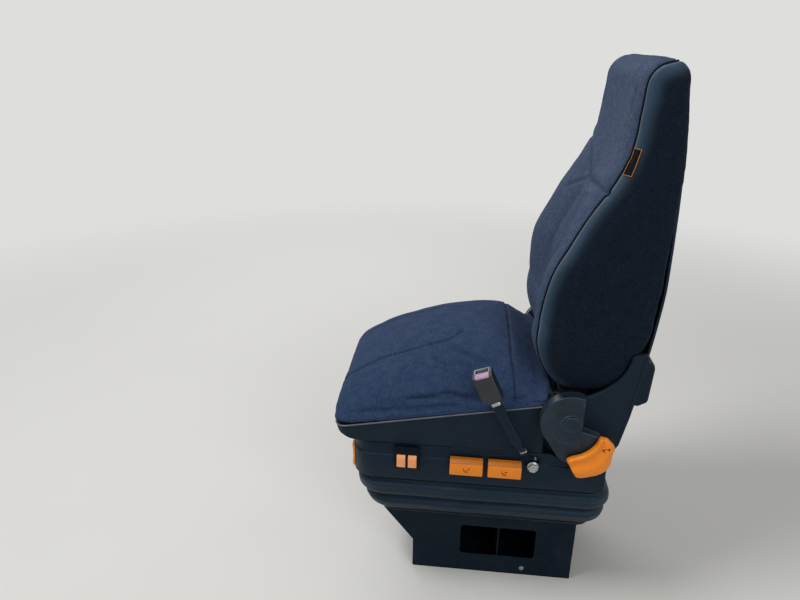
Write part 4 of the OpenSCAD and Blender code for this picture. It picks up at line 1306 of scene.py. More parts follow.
def makeGrip():
    g = gripShape
    y, z = g["hinge"]
    inside, outside = evenly(g["inner"], g["steps"] + 1), evenly(g["outer"], g["steps"] + 1)
    ahead = headings((inside + outside) / 2)
    rings = []
    for k in range(g["steps"] + 1):
        u = k / g["steps"]
        close = math.sqrt(max(0.0, 1 - (1 - min(min(u, 1 - u) / 0.05, 1)) ** 2))
        middle = (inside[k] + outside[k]) / 2
        shrink = 0.90 + 0.10 * close
        inner, outer = middle + (inside[k] - middle) * shrink, middle + (outside[k] - middle) * shrink
        tall = 0.6 + 0.4 * close
        ring = [(0.02, g["low"] + 0.2), (0.0, g["low"] + 1.2)]
        ring += [(v, g["low"] + (g["high"] - d - g["low"]) * tall) for v, d in g["across"]]
        ring += [(1.0, g["low"] + 1.2), (0.98, g["low"] + 0.2), (0.5, g["low"])]
        push = g["bulge"] * float(smoothstep(0.8, 1.0, u))
        rings.append([(x, *(inner + (outer - inner) * v + ahead[k] * push * math.sin(math.pi * v) + (y, z)))
                      for v, x in ring])
    mesh = lofted(rings)
    mesh.set_sharp_from_angle(angle=math.radians(55))
    symbol = inked(mesh, g["mark"], (y + g["markAt"][0], z + g["markAt"][1]), 0.75, -12)
    piece("recline_grip", mesh, "orangePlastic", "carrier", "orange_plastic", "recline_lever")
    piece("recline_grip_symbol", symbol, "blackBlock", "carrier", "black_plastic")
    foot = [inside[k] * 0.8 + outside[k] * 0.2 for k in range(4, 44, 4)]
    foot += [inside[k] * 0.3 + outside[k] * 0.7 for k in range(40, 3, -4)]
    block = prism([(a + y, b + z) for a, b in foot], coverShape["outer"] - 4, g["low"] + 0.6)
    piece("recline_grip_foot", block, "grainedPlastic", "carrier", "black_plastic")


makeGrip()
print("recliner covers and lever made")

# Backrest trims beside the hinge, rear shell and the box behind it

trimShape = {"hinge": (140, 535), "inner": 229.4, "outer": 243, "hub": 42,
             "outline": [(-24, 24), (10, 42), (38, 50), (66, 67), (90, 89), (106, 114), (117, 157),
                         (145, 158), (147, 128), (136, 70), (126, 5), (112, -66), (104, -78), (95, -80),
                         (77, -52), (50, -58), (-24, -24)],
             "radii": [6, 20, 60, 60, 60, 60, 5, 4, 20, 60, 80, 20, 8, 6, 10, 8, 6],
             "edge": [(2, 40), (16, 43), (38, 50), (66, 67), (90, 89), (106, 114), (114, 140), (117, 155)],
             "rib": (3.2, 2.4), "bead": (2.6, 1.2),
             "funnel": [(142, 150), (134, 90), (122, 20), (110, -50), (100, -74)]}


def makeTrim(side):
    t = trimShape
    y, z = t["hinge"]
    plate = prism(rounded(t["outline"], t["radii"], 5), t["inner"], t["outer"])
    hub = turned([(t["inner"], 0.01), (t["inner"], t["hub"]), (t["outer"], t["hub"]), (t["outer"], 0.01)],
                 steps=72)
    mesh = carved(plate, tidied(hub), operation="UNION")
    roundEdges(mesh, 2.6, 4, 50, pick=lambda p: p.x > t["outer"] - 1)
    mesh = tidied(mesh)
    funnel = curveThrough([(t["outer"] - 0.6, a, b) for a, b in t["funnel"]], 5)
    bead = tubed(funnel, np.linspace(*t["bead"], len(funnel)))
    rise = curveThrough([(t["outer"] - t["rib"][0], a, b) for a, b in t["edge"]], 5)
    mesh = joined(mesh, bead, tubed(rise, np.linspace(*t["rib"], len(rise)), 12))
    mesh, name = mirrored(mesh, side, y, z), sideName(side)
    piece("back_side_trim_" + name, mesh, "grainedPlastic", "backrest", "black_plastic", "back_trim_" + name)


for side in (1, -1):
    makeTrim(side)

shellShape = {
    "hinge": (140, 535), "foot": 43.0, "height": 699, "half": 243, "thick": 8, "rings": 60,
    "rows": [[-.054, 126, 14], [.12, 147, 14], [.223, 161, 27], [.385, 169, 31], [.565, 168, 37],
             [.678, 166, 43], [.76, 162, 49], [.864, 155, 58], [.911, 152, 68]],
    "screws": [(-.01, 175), (.80, 150)],
    "screw": [(0, 0.01), (0, 6), (1.2, 5.4), (2.0, 3.4), (2.1, 1.6), (1.0, 1.4), (1.0, 0.01)],
}


def shellLine(share):
    rows = np.array(shellShape["rows"])
    return monotone(rows[:, 0], rows[:, 1], np.atleast_1d(share))


def makeShell():
    s = shellShape
    y, z = s["hinge"]
    rings = []
    for share, out, inset in denser(s["rows"], s["rings"]):
        x = s["half"] - inset
        up = z + s["foot"] + share * s["height"]
        near = min(share - s["rows"][0][0], s["rows"][-1][0] - share)
        x -= 16 * (1 - math.sqrt(max(0, 1 - (1 - min(near / 0.025, 1)) ** 2)))
        front, back = y + out - s["thick"], y + out
        ring = [(x - 2.5, front, up), (x, front + 1.5, up), (x, back - 4.5, up), (x - 0.8, back - 2.2, up),
                (x - 2.8, back - 0.7, up), (x - 6, back, up)]
        flat = np.linspace(x - 22, -x + 22, 15)
        rib = [(v, back - 1.1 * math.exp(-((abs(v) - x + 34) / 5.0) ** 2), up) for v in flat]
        other = [(-a, b, c) for a, b, c in ring[::-1]]
        rings.append(ring + [(x - 14, back - 0.1, up)] + rib + [(-x + 14, back - 0.1, up)] + other)
    piece("back_rear_shell", lofted(rings), "grainedPlastic", "backrest", "black_plastic", "back_shell")
    screws = []
    tilt = Matrix(((1, 0, 0), (0, 0, 1), (0, -1, 0))).to_4x4()
    for share, x in s["screws"]:
        out = float(shellLine(share)[0])
        for k in (-1, 1):
            at = Vector((k * x, y + out - 0.1, z + s["foot"] + share * s["height"])) * mm
            screws.append(turned(s["screw"], axis="z", steps=28))
            screws[-1].transform(Matrix.Translation(at) @ tilt)
    piece("back_shell_screws", joined(*screws), "zincPlate", "backrest", "zinc")


makeShell()

boxShape = {"half": 190, "low": 10, "high": 115, "out": 44, "gap": 0.3, "slots": 9, "pitch": 25}


def makeRearBox():
    b = boxShape
    y, z = shellShape["hinge"]

    def behind(up):
        return float(shellLine((up - shellShape["foot"]) / shellShape["height"])[0]) + b["gap"]

    low, high, out = b["low"], b["high"], b["out"]
    mid = (low + high) / 2
    outline = [(behind(low), low), (behind(high), high), (behind(high) + out - 12, high - 3),
               (behind(mid) + out, high - 17), (behind(mid) + out - 4, low + 6),
               (behind(low) + out - 16, low - 6)]
    outline = [(y + a, z + c) for a, c in rounded(outline, [0, 0, 8, 8, 12, 10], 6)]
    mesh = prism(outline, -b["half"], b["half"])
    roundEdges(mesh, 5, 5, 50, pick=lambda p: abs(abs(p.x) - b["half"]) < 0.5 and p.y > y + behind(mid) + 3)
    mesh = tidied(mesh)
    slots = []
    near, far = y + behind(mid) + out - 6, y + behind(mid) + out + 9
    for k in range(b["slots"]):
        x = b["pitch"] * (k - b["slots"] // 2)
        outline = rounded(rectangle(x - 8, x + 8, near, far), 2, 3)
        slots.append(prism(outline, z + mid - 4, z + mid - 0.5, "z"))
    mesh = carved(mesh, joined(*slots))
    piece("back_rear_box", mesh, "grainedPlastic", "backrest", "black_plastic", "rear_cover")


makeRearBox()
print("trims, rear shell and box made")

# Cushion pan, with its lip and the sagging edge below each side

panShape = {
    "half": 244, "front": -386, "rear": 88, "floor": 435.5, "nose": 467.5, "slope": 0.19, "corner": 30,
    "wall": 3, "bead": 1.9, "guides": (175.7, 200.3), "guide": (-220, 30, 452.5, 4),
    "sag": [(-114, 438), (-92, 430.5), (-62, 423.5), (-28, 420), (4, 422.5), (24, 430), (40, 438)],
    "flap": (242.8, 244.6, 444, 1.5),      # from..to across, how high it starts, and the bead on its edge
}


def panTop(y):
    return panShape["nose"] + 1.5 + panShape["slope"] * (np.asarray(y, float) - panShape["front"])


def makePan():
    p = panShape
    f, w, floor = p["front"], p["half"], p["floor"]

    def side(t, drop):
        return [(f + 2 * t, p["nose"]), (f + 9 + t, floor + 17 + t / 2), (f + 34 + t, floor + 4 + t / 2),
                (f + 56, floor - drop), (p["rear"] + t, floor - drop),
                (p["rear"] + t, float(panTop(p["rear"])) - t), (f + 7 + 2 * t, float(panTop(f + 7)) - t)]

    def plan(t):
        corner = p["corner"] - t
        return rounded(rectangle(-w + t, w - t, f - 1 + t, p["rear"] + 2), [corner, corner, 0, 0], 7)

    outer = carved(prism(rounded(side(0, 0), [0, 14, 26, 30, 0, 0, 0], 4), -w - 1, w + 1),
                   prism(plan(0), 300, 700, "z"), operation="INTERSECT")
    roundEdges(outer, 3.2, 4, 40, pick=lambda q: q.z < 466 and abs(q.y - p["rear"]) > 1)
    inner = carved(prism(side(p["wall"], 4), -w, w), prism(plan(p["wall"]), 300, 700, "z"),
                   operation="INTERSECT")
    pan = carved(tidied(outer), inner)
    guides, flaps = [], []
    y0, y1, low, thick = p["guide"]
    outline = [(y0, low), (y1, low), (y1, float(panTop(y1)) - 1.5), (y0, float(panTop(y0)) - 1.5)]
    for s in (-1, 1):
        for e in p["guides"]:
            guides.append(prism(outline, *sorted((s * e, s * (e + thick))), edge=0.5, segments=2))
    path, normal = frontPath(w, f - 1, p["rear"], p["corner"], 14, 12)
    rim = np.column_stack([path[:, 0], path[:, 1], panTop(np.maximum(path[:, 1], f + 7)) - 1.2])
    rim[:, :2] += normal * 0.3
    # the lip bead is lighter than the pan: painted highlight where its edge catches light
    piece("cushion_pan_lip", tubed(rim, p["bead"], 10), "litLipPlastic", "cushion", "black_plastic")
    near, far, high, bead = p["flap"]
    for s in (-1, 1):
        curve = curveThrough([(s * (near + 1.0), y, z) for y, z in p["sag"]], 4)
        outline = [(q[1], q[2]) for q in curve] + [(p["sag"][-1][0], high), (p["sag"][0][0], high)]
        flaps.append(prism(outline, *sorted((s * near, s * far)), edge=0.5, segments=2))
        flaps.append(tubed(curve, bead))
    mesh = joined(pan, *guides, *flaps)
    piece("cushion_pan_shell", mesh, "grainedPlastic", "cushion", "black_plastic", "cushion_pan")


makePan()
print("cushion pan made")

# Cushion: domed pad, blown up as cloth, then its seams and folds

cushionShape = {
    "half": 250, "crown": 127, "front": -386, "inset": 5.0, "rings": 90, "around": 96,
    "rows": [[-394, .16, 40], [-391, .29, 27], [-384, .40, 17], [-371, .50, 10], [-346, .61, 5],
             [-318, .71, 3], [-290, .80, 2], [-230, .91, 1], [-165, .98, 0], [-120, 1.0, 0], [-62, .98, 0],
             [-20, .92, 0], [5, .84, 0], [20, .75, 1], [35, .63, 2], [53, .47, 4], [70, .32, 8],
             [80, .25, 11], [90, .18, 15], [97, .14, 20], [104, .11, 26], [109, .08, 32], [113, .04, 40]],
    "puff": {"voxel": 6.0, "pressure": 3.0, "frames": 16, "cap": 8.0, "stiff": 12, "bend": 1.0,
             "quality": 4, "mass": 0.35},
    # cloth drawn to the lip: its rise from..to, distance from..to, how proud, and where it ends behind
    "skirt": (26, 12, 60, 22, 2.5, 98, 88),
    "lip": (244, -387, 90, 30, 24, 3),
}
# seams and folds of the cushion: where they run, how deep (below 0) or proud, how wide, and how much painted
# shade lies along them
cushionFolds = [
    {"line": [(104, -391, 500), (107, -384, 517), (113, -345, 551), (114, -288, 585), (114, -232, 606),
              (110, -182, 625), (105, -135, 638), (75, -104, 647)], "deep": -3.4, "wide": 4.2, "mirror": True,
     "dark": 0.5},
    {"line": [(130, -127, 635), (161, -93, 633), (179, -59, 629), (187, -25, 625)], "deep": -4.4, "wide": 7,
     "dark": 0.12},
    {"line": [(122, -134, 642), (154, -86, 640), (174, -50, 636), (182, -16, 631)], "deep": 3.6, "wide": 8},
    {"line": [(152, -175, 617), (174, -151, 615), (190, -124, 612)], "deep": -3.6, "wide": 7, "dark": 0.2},
    {"line": [(146, -170, 624), (168, -144, 622), (184, -117, 619)], "deep": 2.8, "wide": 8},
    {"line": [(238, -150, 565), (238, -125, 570), (243, -104, 566), (246, -67, 567)], "deep": -3.6, "wide": 5,
     "dark": 0.25},
    {"line": [(236, -156, 576), (236, -125, 581), (240, -98, 577), (243, -60, 577)], "deep": 3.4, "wide": 7},
    {"line": [(238, -230, 547), (238, -201, 552), (241, -168, 558), (242, -146, 563)],
     "deep": -3.8, "wide": 5, "dark": 0.25},
    {"line": [(236, -236, 558), (237, -203, 563), (239, -170, 569), (240, -140, 575)],
     "deep": 3.4, "wide": 7},
    {"line": [(248, -250, 526), (248, -225, 530), (248, -145, 546), (248, -68, 555), (248, -30, 560)],
     "deep": 3.0, "wide": 6},
    {"line": [(248, -240, 517), (248, -150, 533), (248, -80, 542)], "deep": -2.2, "wide": 5},
    {"line": [(236, -330, 520), (242, -290, 524), (245, -250, 523)], "deep": 2.4, "wide": 8},
    {"line": [(238, -332, 510), (244, -290, 513), (247, -255, 512)], "deep": -2.4, "wide": 8},
    {"line": [(228, -60, 600), (230, -30, 604), (228, -2, 603)], "deep": -2.6, "wide": 8},
    {"line": [(60, -392, 506), (68, -372, 534), (66, -340, 556)], "deep": -2.0, "wide": 10},
    {"line": [(160, -388, 500), (172, -366, 526), (180, -330, 548)], "deep": -1.8, "wide": 9},
]
crossSeam = {"y": 10.0, "sweep": 8.0, "deep": -3.0, "wide": 3.5, "ledge": 4.5, "dark": 0.75}


def sgnPower(v, e):
    return math.copysign(abs(v) ** (2 / e), v)


def cushionRing(row, inset):
    c = cushionShape
    y, share, side = row
    z0 = float(panTop(max(y, c["front"] + 7))) + 0.4
    h = max(share * c["crown"] - inset, 1.5)
    hw = c["half"] - side - inset
    zm = z0 + 0.2 * h
    ring = []
    for k in range(c["around"]):
        a = 2 * math.pi * k / c["around"]
        x = -hw * sgnPower(math.cos(a), 3 if a <= math.pi else 3.4)
        z = (zm + (z0 + h - zm) * sgnPower(math.sin(a), 1.5) if a <= math.pi
             else zm + (zm - z0) * sgnPower(math.sin(a), 4))
        ring.append((x, y, z))
    return ring


def fold(mesh, strokes, dark):
    # raises or sinks the surface along each stroke, fading out at its ends; adds painted shade along it to
    # the seam darkness
    points, normal = pointsOf(mesh), normalsOf(mesh)
    lift = np.zeros(len(points))
    for s in strokes:
        for flip in ((1, -1) if s.get("mirror") else (1,)):
            line, _ = onto(mesh, curveThrough(np.array(s["line"], float) * (flip, 1, 1), 6))
            reach = 4 * s["wide"]
            box = (points > line.min(0) - reach).all(1) & (points < line.max(0) + reach).all(1)
            gap, along = distanceTo(points[box], line)
            end = 1
            if "mirror" not in s and "open" not in s:
                end = smoothstep(0, 0.22, along) * smoothstep(0, 0.22, 1 - along)
            lift[box] += s["deep"] * end * np.exp(-(gap / s["wide"]) ** 2)
            dark[box] = np.maximum(dark[box], s.get("dark", 0) * end * np.exp(-(gap / 3.2) ** 2))
    setPoints(mesh, points + normal * lift[:, None])


def makeCushion():
    c = cushionShape
    inset = c["inset"]
    rings = [cushionRing(row, inset) for row in denser(c["rows"], c["rings"])]
    mesh = finer(puffed(lofted(rings), c["puff"]))
    points, normal = pointsOf(mesh), normalsOf(mesh)
    base = panTop(np.clip(points[:, 1], c["front"] + 7, None)) + 0.4
    points[:, 2] = np.maximum(points[:, 2], base)
    rise = points[:, 2] - base
    # the cloth is drawn down to the lip of the pan
    high, low, far, near, proud, start, end = c["skirt"]
    path, out = frontPath(*c["lip"])
    outer = np.hypot(points[:, 0] / c["lip"][0], (points[:, 1] + 150) / 230) > 0.8
    below = np.where((rise < high) & outer)[0]
    gap = np.linalg.norm(points[below, None, :2] - path[None], axis=2)
    nearest = gap.argmin(1)
    pull = (smoothstep(high, low, rise[below]) * smoothstep(far, near, gap[np.arange(len(below)), nearest])
            * smoothstep(start, end, points[below, 1]))
    points[below, :2] += (path[nearest] + out[nearest] * proud - points[below, :2]) * pull[:, None]
    # cross seam: the rear panel starts lower, behind a sewn channel
    s = crossSeam
    above = smoothstep(6, 18, rise)
    gap = np.abs(points[:, 1] - s["y"] - s["sweep"] * smoothstep(150, 240, np.abs(points[:, 0])))
    points = points + normal * (s["deep"] * np.exp(-(gap / s["wide"]) ** 2) * above)[:, None]
    # painted shade in the seam's channel
    dark = s["dark"] * np.exp(-(gap / 2.4) ** 2) * above
    # side ledge behind the seam, with the dark gap under it
    behind = smoothstep(s["y"] - 5, s["y"] + 12, points[:, 1]) * smoothstep(215, 232, np.abs(points[:, 0]))
    points[:, 0] += np.sign(points[:, 0]) * behind * (s["ledge"] * np.exp(-((rise - 30) / 8) ** 2)
                                                      - s["ledge"] * np.exp(-((rise - 13) / 8) ** 2))
    setPoints(mesh, points)
    fold(mesh, cushionFolds, dark)
    points, normal = pointsOf(mesh), normalsOf(mesh)
    slack = noise(points, 70, 11) * 1.3 + noise(points * (1, 0.6, 2.2), 26, 12) * 0.8
    low = smoothstep(60, 15, rise) * (np.abs(points[:, 0]) > 150)
    slack += noise(points * (1, 0.35, 2.4), 16, 13) * 1.1 * low
    points = points + normal * (slack * smoothstep(2, 10, rise))[:, None]
    points[:, 2] = np.maximum(points[:, 2], base)
    setPoints(mesh, points)
    # the seam attribute holds the painted shade of seams and creases
    mark(mesh, "seam", dark)
    pad = piece("cushion_cover", mesh, "coverCloth", "cushion", "seat_fabric", "cushion_pad")


makeCushion()
print("cushion made")

# Backrest: tall pad with a hollow front, welts down both sides, a crease below the head

backShape = {
    "hinge": (140, 535), "foot": 43.0, "height": 699, "half": 243, "hollow": 58, "inset": 5.0, "rings": 150,
    "around": 176, "corner": 12, "slump": 14, "wrap": 8.5, "top": 0.911,
    "rows": [[0, -20, 66, 40, 0], [.02, -42, 50, 22, .05], [.048, -63, 34, 10, .15], [.081, -79, 25, 4, .3],
             [.119, -90, 16, 1, .5], [.173, -98, 4, 0, .75], [.221, -95, 0, 0, .92], [.3, -89, 0, 0, 1],
             [.38, -77, 0, 1, .95], [.47, -45, 0, 3, .78], [.559, -15, 0, 5, .55], [.615, 9, 0, 7, .36],
             [.67, 31, 0, 10, .24], [.751, 54, 0, 14, .14], [.809, 60, 0, 18, .14], [.854, 62, 0, 22, .16],
             [.912, 64, 0, 28, .16], [.926, 64, -7, 29, .15], [.945, 65, -9, 32, .13],
             [.958, 68, -8, 37, .12], [.976, 75, -4, 46, .08], [.99, 88, 6, 60, .04],
             [.998, 104, 24, 82, 0], [1, 116, 40, 100, 0]],
    "puff": {"voxel": 6.0, "pressure": 3.0, "frames": 14, "cap": 7.0, "stiff": 14, "bend": 1.2,
             "quality": 4, "mass": 0.35},
    "welt": {"deep": 2.4, "wide": 4.2, "radius": 2.1, "proud": 0.7},
}
# the welt on the left side from the top down to the foot: x, y, z
weltLine = [(150, 276, 1271), (175, 266, 1271), (187, 247, 1268), (191, 235, 1263), (193, 223, 1254),
            (192, 218, 1240), (192, 215, 1215), (192, 213, 1190), (191, 212, 1165), (191, 211, 1140),
            (192, 208, 1117), (194, 202, 1094), (196, 192, 1066), (196, 170, 1023), (196, 151, 991),
            (197, 129, 954), (198, 105, 908), (199, 86, 870), (200, 77, 839), (201, 67, 807), (202, 61, 774),
            (203, 58, 741), (204, 60, 706), (204, 65, 671), (204, 73, 642), (205, 85, 613), (205, 99, 588)]
backFolds = [
    {"line": [(200, 240, 1262), (203, 218, 1230), (206, 215, 1199), (208, 213, 1163), (211, 210, 1127),
              (215, 204, 1090), (220, 195, 1062), (221, 184, 1037), (219, 161, 996), (220, 136, 945),
              (219, 113, 901), (219, 93, 863), (219, 80, 828), (219, 70, 786), (220, 66, 734), (224, 70, 685),
              (224, 84, 640)], "deep": 2.6, "wide": 7, "mirror": True},
    {"line": [(136, 252, 1276), (136, 237, 1272), (114, 226, 1267), (118, 216, 1255), (139, 209, 1239),
              (150, 208, 1225), (146, 207, 1203), (144, 205, 1170)], "deep": -3.4, "wide": 8, "mirror": True},
    {"line": [(-206, 196, 1092), (-177, 192, 1083), (-108, 182, 1058), (-56, 176, 1030), (-13, 170, 1009),
              (34, 168, 1010), (90, 165, 1017), (140, 162, 1021), (176, 163, 1023), (199, 165, 1023)],
     "deep": -5.0, "wide": 6, "dark": 0.5, "open": True},
    {"line": [(-200, 200, 1106), (-108, 190, 1076), (-50, 184, 1048), (-8, 178, 1028), (90, 174, 1034),
              (161, 172, 1040), (196, 174, 1040)], "deep": 4.0, "wide": 11},
    {"line": [(-190, 180, 1062), (-110, 170, 1036), (-56, 160, 1006), (0, 152, 988), (90, 150, 1000),
              (161, 150, 1006), (194, 152, 1006)], "deep": 3.4, "wide": 10},
    {"line": [(-132, 128, 960), (-126, 133, 966), (-81, 153, 986), (-20, 169, 1008)], "deep": -3.8, "wide": 7,
     "dark": 0.2},
    {"line": [(-8, 172, 1016), (-13, 170, 1009), (-49, 146, 949), (-67, 120, 882), (-51, 107, 802),
              (-20, 100, 740)], "deep": -4.0, "wide": 15},
    {"line": [(60, 150, 1004), (84, 128, 960), (92, 108, 900)], "deep": -2.4, "wide": 14},
    {"line": [(150, 150, 1008), (146, 124, 960), (150, 100, 905)], "deep": 1.8, "wide": 14},
    {"line": [(228, 240, 1210), (232, 244, 1120), (237, 230, 1010), (241, 190, 900), (243, 160, 790)],
     "deep": -2.4, "wide": 16, "mirror": True},
]
# the label sewn behind the welt: its corners from the front top, round by the rear
tagShape = {"corners": [(201, 205, 1110), (221, 213, 1110), (225, 201, 1060), (205, 189, 1060)], "thick": 1.5,
            "across": 8, "down": 18, "border": 1.5}


def backRing(row, inset):
    b, shell = backShape, np.array(shellShape["rows"])
    y, z = b["hinge"]
    share, front, rear, side, hollow = row
    up = b["foot"] + share * b["height"]
    hw = b["half"] - side - inset
    y0 = front + inset
    y1 = float(shellLine(min(share, b["top"]))[0]) - 8.3 - rear - inset * 0.4
    ym = (y0 + y1) / 2
    ring = []
    half = b["around"] // 2
    deep = y1 - ym
    slump = b["slump"] * math.exp(-((share - 0.2) / 0.13) ** 2)      # the far bolster is worn further back
    if deep > 2 * b["corner"]:      # square behind, with a small corner beside the shell
        box = rounded([(hw, ym), (hw, y1), (-hw, y1), (-hw, ym)], [0, b["corner"], b["corner"], 0], 6)
        run = np.concatenate([[0], np.cumsum(np.linalg.norm(np.diff(box, axis=0), axis=1))])
        at = np.arange(half) / half * run[-1]
        beside = b["half"] - float(monotone(shell[:, 0], shell[:, 2], np.clip([share], 0, b["top"]))[0])
        for t in at:      # the cover wraps the shell's edges, flush with its rear face high up
            x, p = float(np.interp(t, run, box[:, 0])), float(np.interp(t, run, box[:, 1]))
            proud = b["wrap"] * float(smoothstep(0.2, 0.85, share) * smoothstep(0.95, 0.92, share)
                                      * smoothstep(beside - 2, beside + 12, abs(x)))
            back = max(0, proud + min(rear, 0)) * float(smoothstep(y1 - 30, y1 - 8, p))
            ring.append((x, y + p + back, z + up))
    else:
        ring += [(hw * sgnPower(math.cos(a), 5), y + ym + deep * sgnPower(math.sin(a), 8), z + up)
                 for a in np.arange(half) / half * math.pi]
    for a in (1 + np.arange(half) / half) * math.pi:
        x = hw * sgnPower(math.cos(a), 5)
        p = ym + (ym - y0) * sgnPower(math.sin(a), 7)
        p += slump * float(smoothstep(20, 170, -x))
        if abs(x) < 0.8 * hw:
            p += hollow * b["hollow"] * math.cos(math.radians(90 * x / (0.8 * hw))) ** 2
        ring.append((x, y + p, z + up))
    return ring


def frontOfWelt(points, line):
    # 1 on the front panel between the welts and over the top, -1 on the sides and the rear
    welt = line[np.argsort(line[:, 2])]
    level = points[:, 2]
    x, y = np.interp(level, welt[:, 2], np.abs(welt[:, 0])), np.interp(level, welt[:, 2], welt[:, 1])
    b, rows = backShape, np.array(backShape["rows"])
    share = (level - b["hinge"][1] - b["foot"]) / b["height"]
    rear = b["hinge"][0] + shellLine(np.clip(share, 0, b["top"])) - 8
    front = b["hinge"][0] + monotone(rows[:, 0], rows[:, 1], np.clip(share, 0, 1))
    middle = (rear + front) / 2
    turnOf = np.arctan2(np.abs(points[:, 0]), middle - points[:, 1])
    inside = turnOf < np.arctan2(x, middle - y)
    over = line[line[:, 2] > 1238]
    over = over[np.argsort(over[:, 1])]
    half = np.interp(points[:, 1], over[:, 1], np.abs(over[:, 0]))
    onTop = (np.abs(points[:, 0]) < half) & (points[:, 1] < 270)
    return np.where(np.where(level > 1240, onTop, inside), 1, -1)


def makeTag(mesh):
    t = tagShape
    a, b, c, d = (np.array(p, float) for p in t["corners"])
    grid = []
    for v in np.linspace(0, 1, t["down"]):
        for u in np.linspace(0, 1, t["across"]):
            grid.append((a * (1 - u) + b * u) * (1 - v) + (d * (1 - u) + c * u) * v)
    laid, out = onto(mesh, grid, 0.3)
    out /= np.linalg.norm(out, axis=1)[:, None]
    shape = (t["down"], t["across"], 3)
    low, high = laid.reshape(shape), (laid + out * t["thick"]).reshape(shape)
    label = lofted([np.vstack([h, l[::-1]]) for h, l in zip(high, low)])
    piece("back_tag", label, "labelCloth", "backrest", "seat_fabric")
    edge = np.vstack([high[0], high[1:, -1], high[-1, -2::-1], high[-2::-1, 0]])
    piece("back_tag_border", tubed(edge, t["border"] / 2), "amberThread", "backrest", "seat_fabric")


def makeBack():
    b = backShape
    inset = b["inset"]
    rings = [backRing(r, inset) for r in denser(b["rows"], b["rings"])]
    rings[0] = [(x, y, z + inset) for x, y, z in rings[0]]
    mesh = finer(puffed(lofted(rings), b["puff"]))
    points = pointsOf(mesh)
    base = b["hinge"][1] + b["foot"]
    points[:, 2] = np.maximum(points[:, 2], base + 0.2)
    setPoints(mesh, points)
    dark = np.zeros(len(points))
    fold(mesh, backFolds, dark)
    points, normal = pointsOf(mesh), normalsOf(mesh)
    w = b["welt"]
    welts, depth, nearest = [], np.zeros(len(points)), np.full(len(points), 1e9)
    for flip in (1, -1):
        line, _ = onto(mesh, curveThrough(np.array(weltLine, float) * (flip, 1, 1), 5))
        gap, _ = distanceTo(points, line)
        depth -= w["deep"] * np.exp(-(gap / w["wide"]) ** 2)
        nearest = np.minimum(nearest, gap)
        welts.append(line)
    side = frontOfWelt(points, welts[0])
    slack = noise(points, 85, 21) * 1.1 + noise(points, 30, 22) * 0.5
    points = points + normal * (depth + slack * smoothstep(2, 12, points[:, 2] - base))[:, None]
    setPoints(mesh, points)
    mark(mesh, "panel", side * nearest / 10)
    # painted shade in the grooves beside the welts and in the dark creases
    mark(mesh, "seam", np.maximum(dark, 0.7 * np.exp(-(nearest / 4.0) ** 2)))
    pad = piece("back_cover", mesh, "backCloth", "backrest", "seat_fabric", "back_pad")
    for k, line in enumerate(welts):
        laid, _ = onto(mesh, curveThrough(line[::3], 3), w["proud"])
        welt = tubed(laid, w["radius"], 10)
        piece("back_welt_" + ("left", "right")[k], welt, "pipingCloth", "backrest", "seat_fabric")
    makeTag(mesh)


backLooks = {
    "centre": {"deep": "#1b2436", "base": "#3d4b66", "thread": "#8093b4", "pitch": 0.0015, "flecks": 0.42,
               "waver": 0.3},
    "side": {"deep": "#050b13", "base": "#0b1724", "thread": "#24364a", "pitch": 0.0012, "flecks": 0.45,
             "waver": 0.2},
    # painted highlight on the side panel beside the welt, where it turns to face the front, in two bands:
    # from..to, share and colour
    "litBands": [(-4.2, -0.4, 0.8, "#465b70"), (-1.1, -0.35, 0.5, "#8c99a8")],
    "lint": 0.1, "bump": 0.0006,
}


def makeBackCloth():
    m, tree, shader = newMaterial("backCloth", **clothRules)
    panel = node(tree, "Attribute", attribute_name="panel").outputs["Fac"]
    centre, w = clothColour(tree, backLooks["centre"])
    side, _ = clothColour(tree, backLooks["side"])
    # painted highlight: the side cloth lightened in bands beside each welt
    for low, high, share, colour in backLooks["litBands"]:
        side = mixed(tree, part(tree, ramp(tree, panel, low, high), share), side, colour)
    both = mixed(tree, ramp(tree, panel, -0.02, 0.02), side, centre)
    finishCloth(tree, shader, both, w, backLooks["lint"], backLooks["bump"])
    return m


looks["backCloth"] = makeBackCloth()
makeBack()
print("backrest made")

# Floor, lights and the pale background

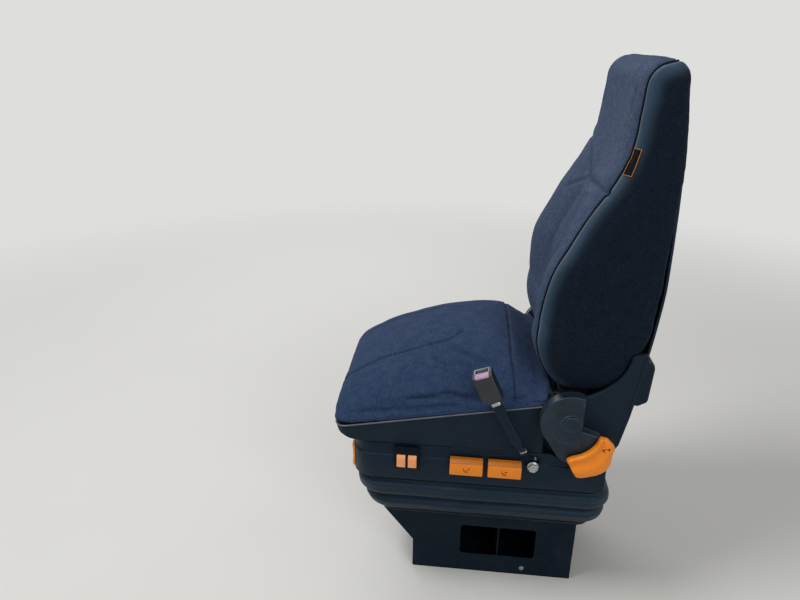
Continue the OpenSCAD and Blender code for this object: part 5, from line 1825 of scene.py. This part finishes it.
studio = {
    "floor": "#dcdbd8", "patch": "#cfcecb", "radius": 40, "drop": -0.0005,
    "sky": "#dededc", "fill": 0.36, "fade": (1.1, 4.2),
    "key": ((1.0, -2.2, 4.0), 1.7, 100), "side": ((3.0, 1.6, 1.9), 2.2, 40),
    "far": ((-2.8, -1.0, 2.4), 2.2, 40),
    "aim": (0, -0.05, 0.6),
}


def seenRay(tree):
    path = node(tree, "LightPath").outputs
    return calc(tree, "MAXIMUM", calc(tree, "MAXIMUM", path["Is Camera Ray"], path["Is Glossy Ray"]),
                path["Is Transmission Ray"])


def makeFloor():
    b = bmesh.new()
    bmesh.ops.create_circle(b, cap_ends=True, cap_tris=True, segments=64, radius=studio["radius"])
    mesh = bpy.data.meshes.new("floor")
    b.to_mesh(mesh)
    b.free()
    floor = linked("floor", mesh)
    floor.location.z = studio["drop"]
    m, tree, shader = newMaterial("floorPaint", gloss=0.2)
    at = node(tree, "TexCoord").outputs["Object"]
    patches = ramp(tree, noiseOf(tree, at, 3.0, 4.0), 0.3, 0.7, 0.0, 0.08)
    tone = mixed(tree, patches, studio["floor"], studio["patch"])
    finish(tree, shader, tone, 0.75, noiseOf(tree, at, 300.0, 3.0), 0.0001)
    # away from the object the floor runs into the pale background
    far = node(tree, "VectorMath", at, operation="LENGTH").outputs["Value"]
    share = part(tree, ramp(tree, far, *studio["fade"]), seenRay(tree))
    plain = node(tree, "Emission", studio["sky"])
    blend = node(tree, "MixShader", share, shader.outputs[0], plain.outputs[0])
    put(tree, tree.nodes["Material Output"], Surface=blend.outputs[0])
    mesh.materials.append(m)


def makeLights():
    world = bpy.data.worlds.new("studio")
    scene.world = world
    world.use_nodes = True
    tree = world.node_tree
    back = tree.nodes["Background"]
    feed(tree, back.inputs["Color"], studio["sky"])
    fill = studio["fill"]
    feed(tree, back.inputs["Strength"], calc(tree, "MULTIPLY_ADD", seenRay(tree), 1 - fill, fill))
    for name in ("key", "side", "far"):
        where, size, power = studio[name]
        data = bpy.data.lights.new(name, "AREA")
        data.shape, data.size, data.energy = "DISK", size, power
        lamp = linked(name, data)
        lamp.location = where
        aim = Vector(studio["aim"]) - Vector(where)
        lamp.rotation_euler = aim.to_track_quat("-Z", "Y").to_euler()


makeFloor()
makeLights()
scene.view_settings.view_transform = "Standard"
print("floor, lights and background made")
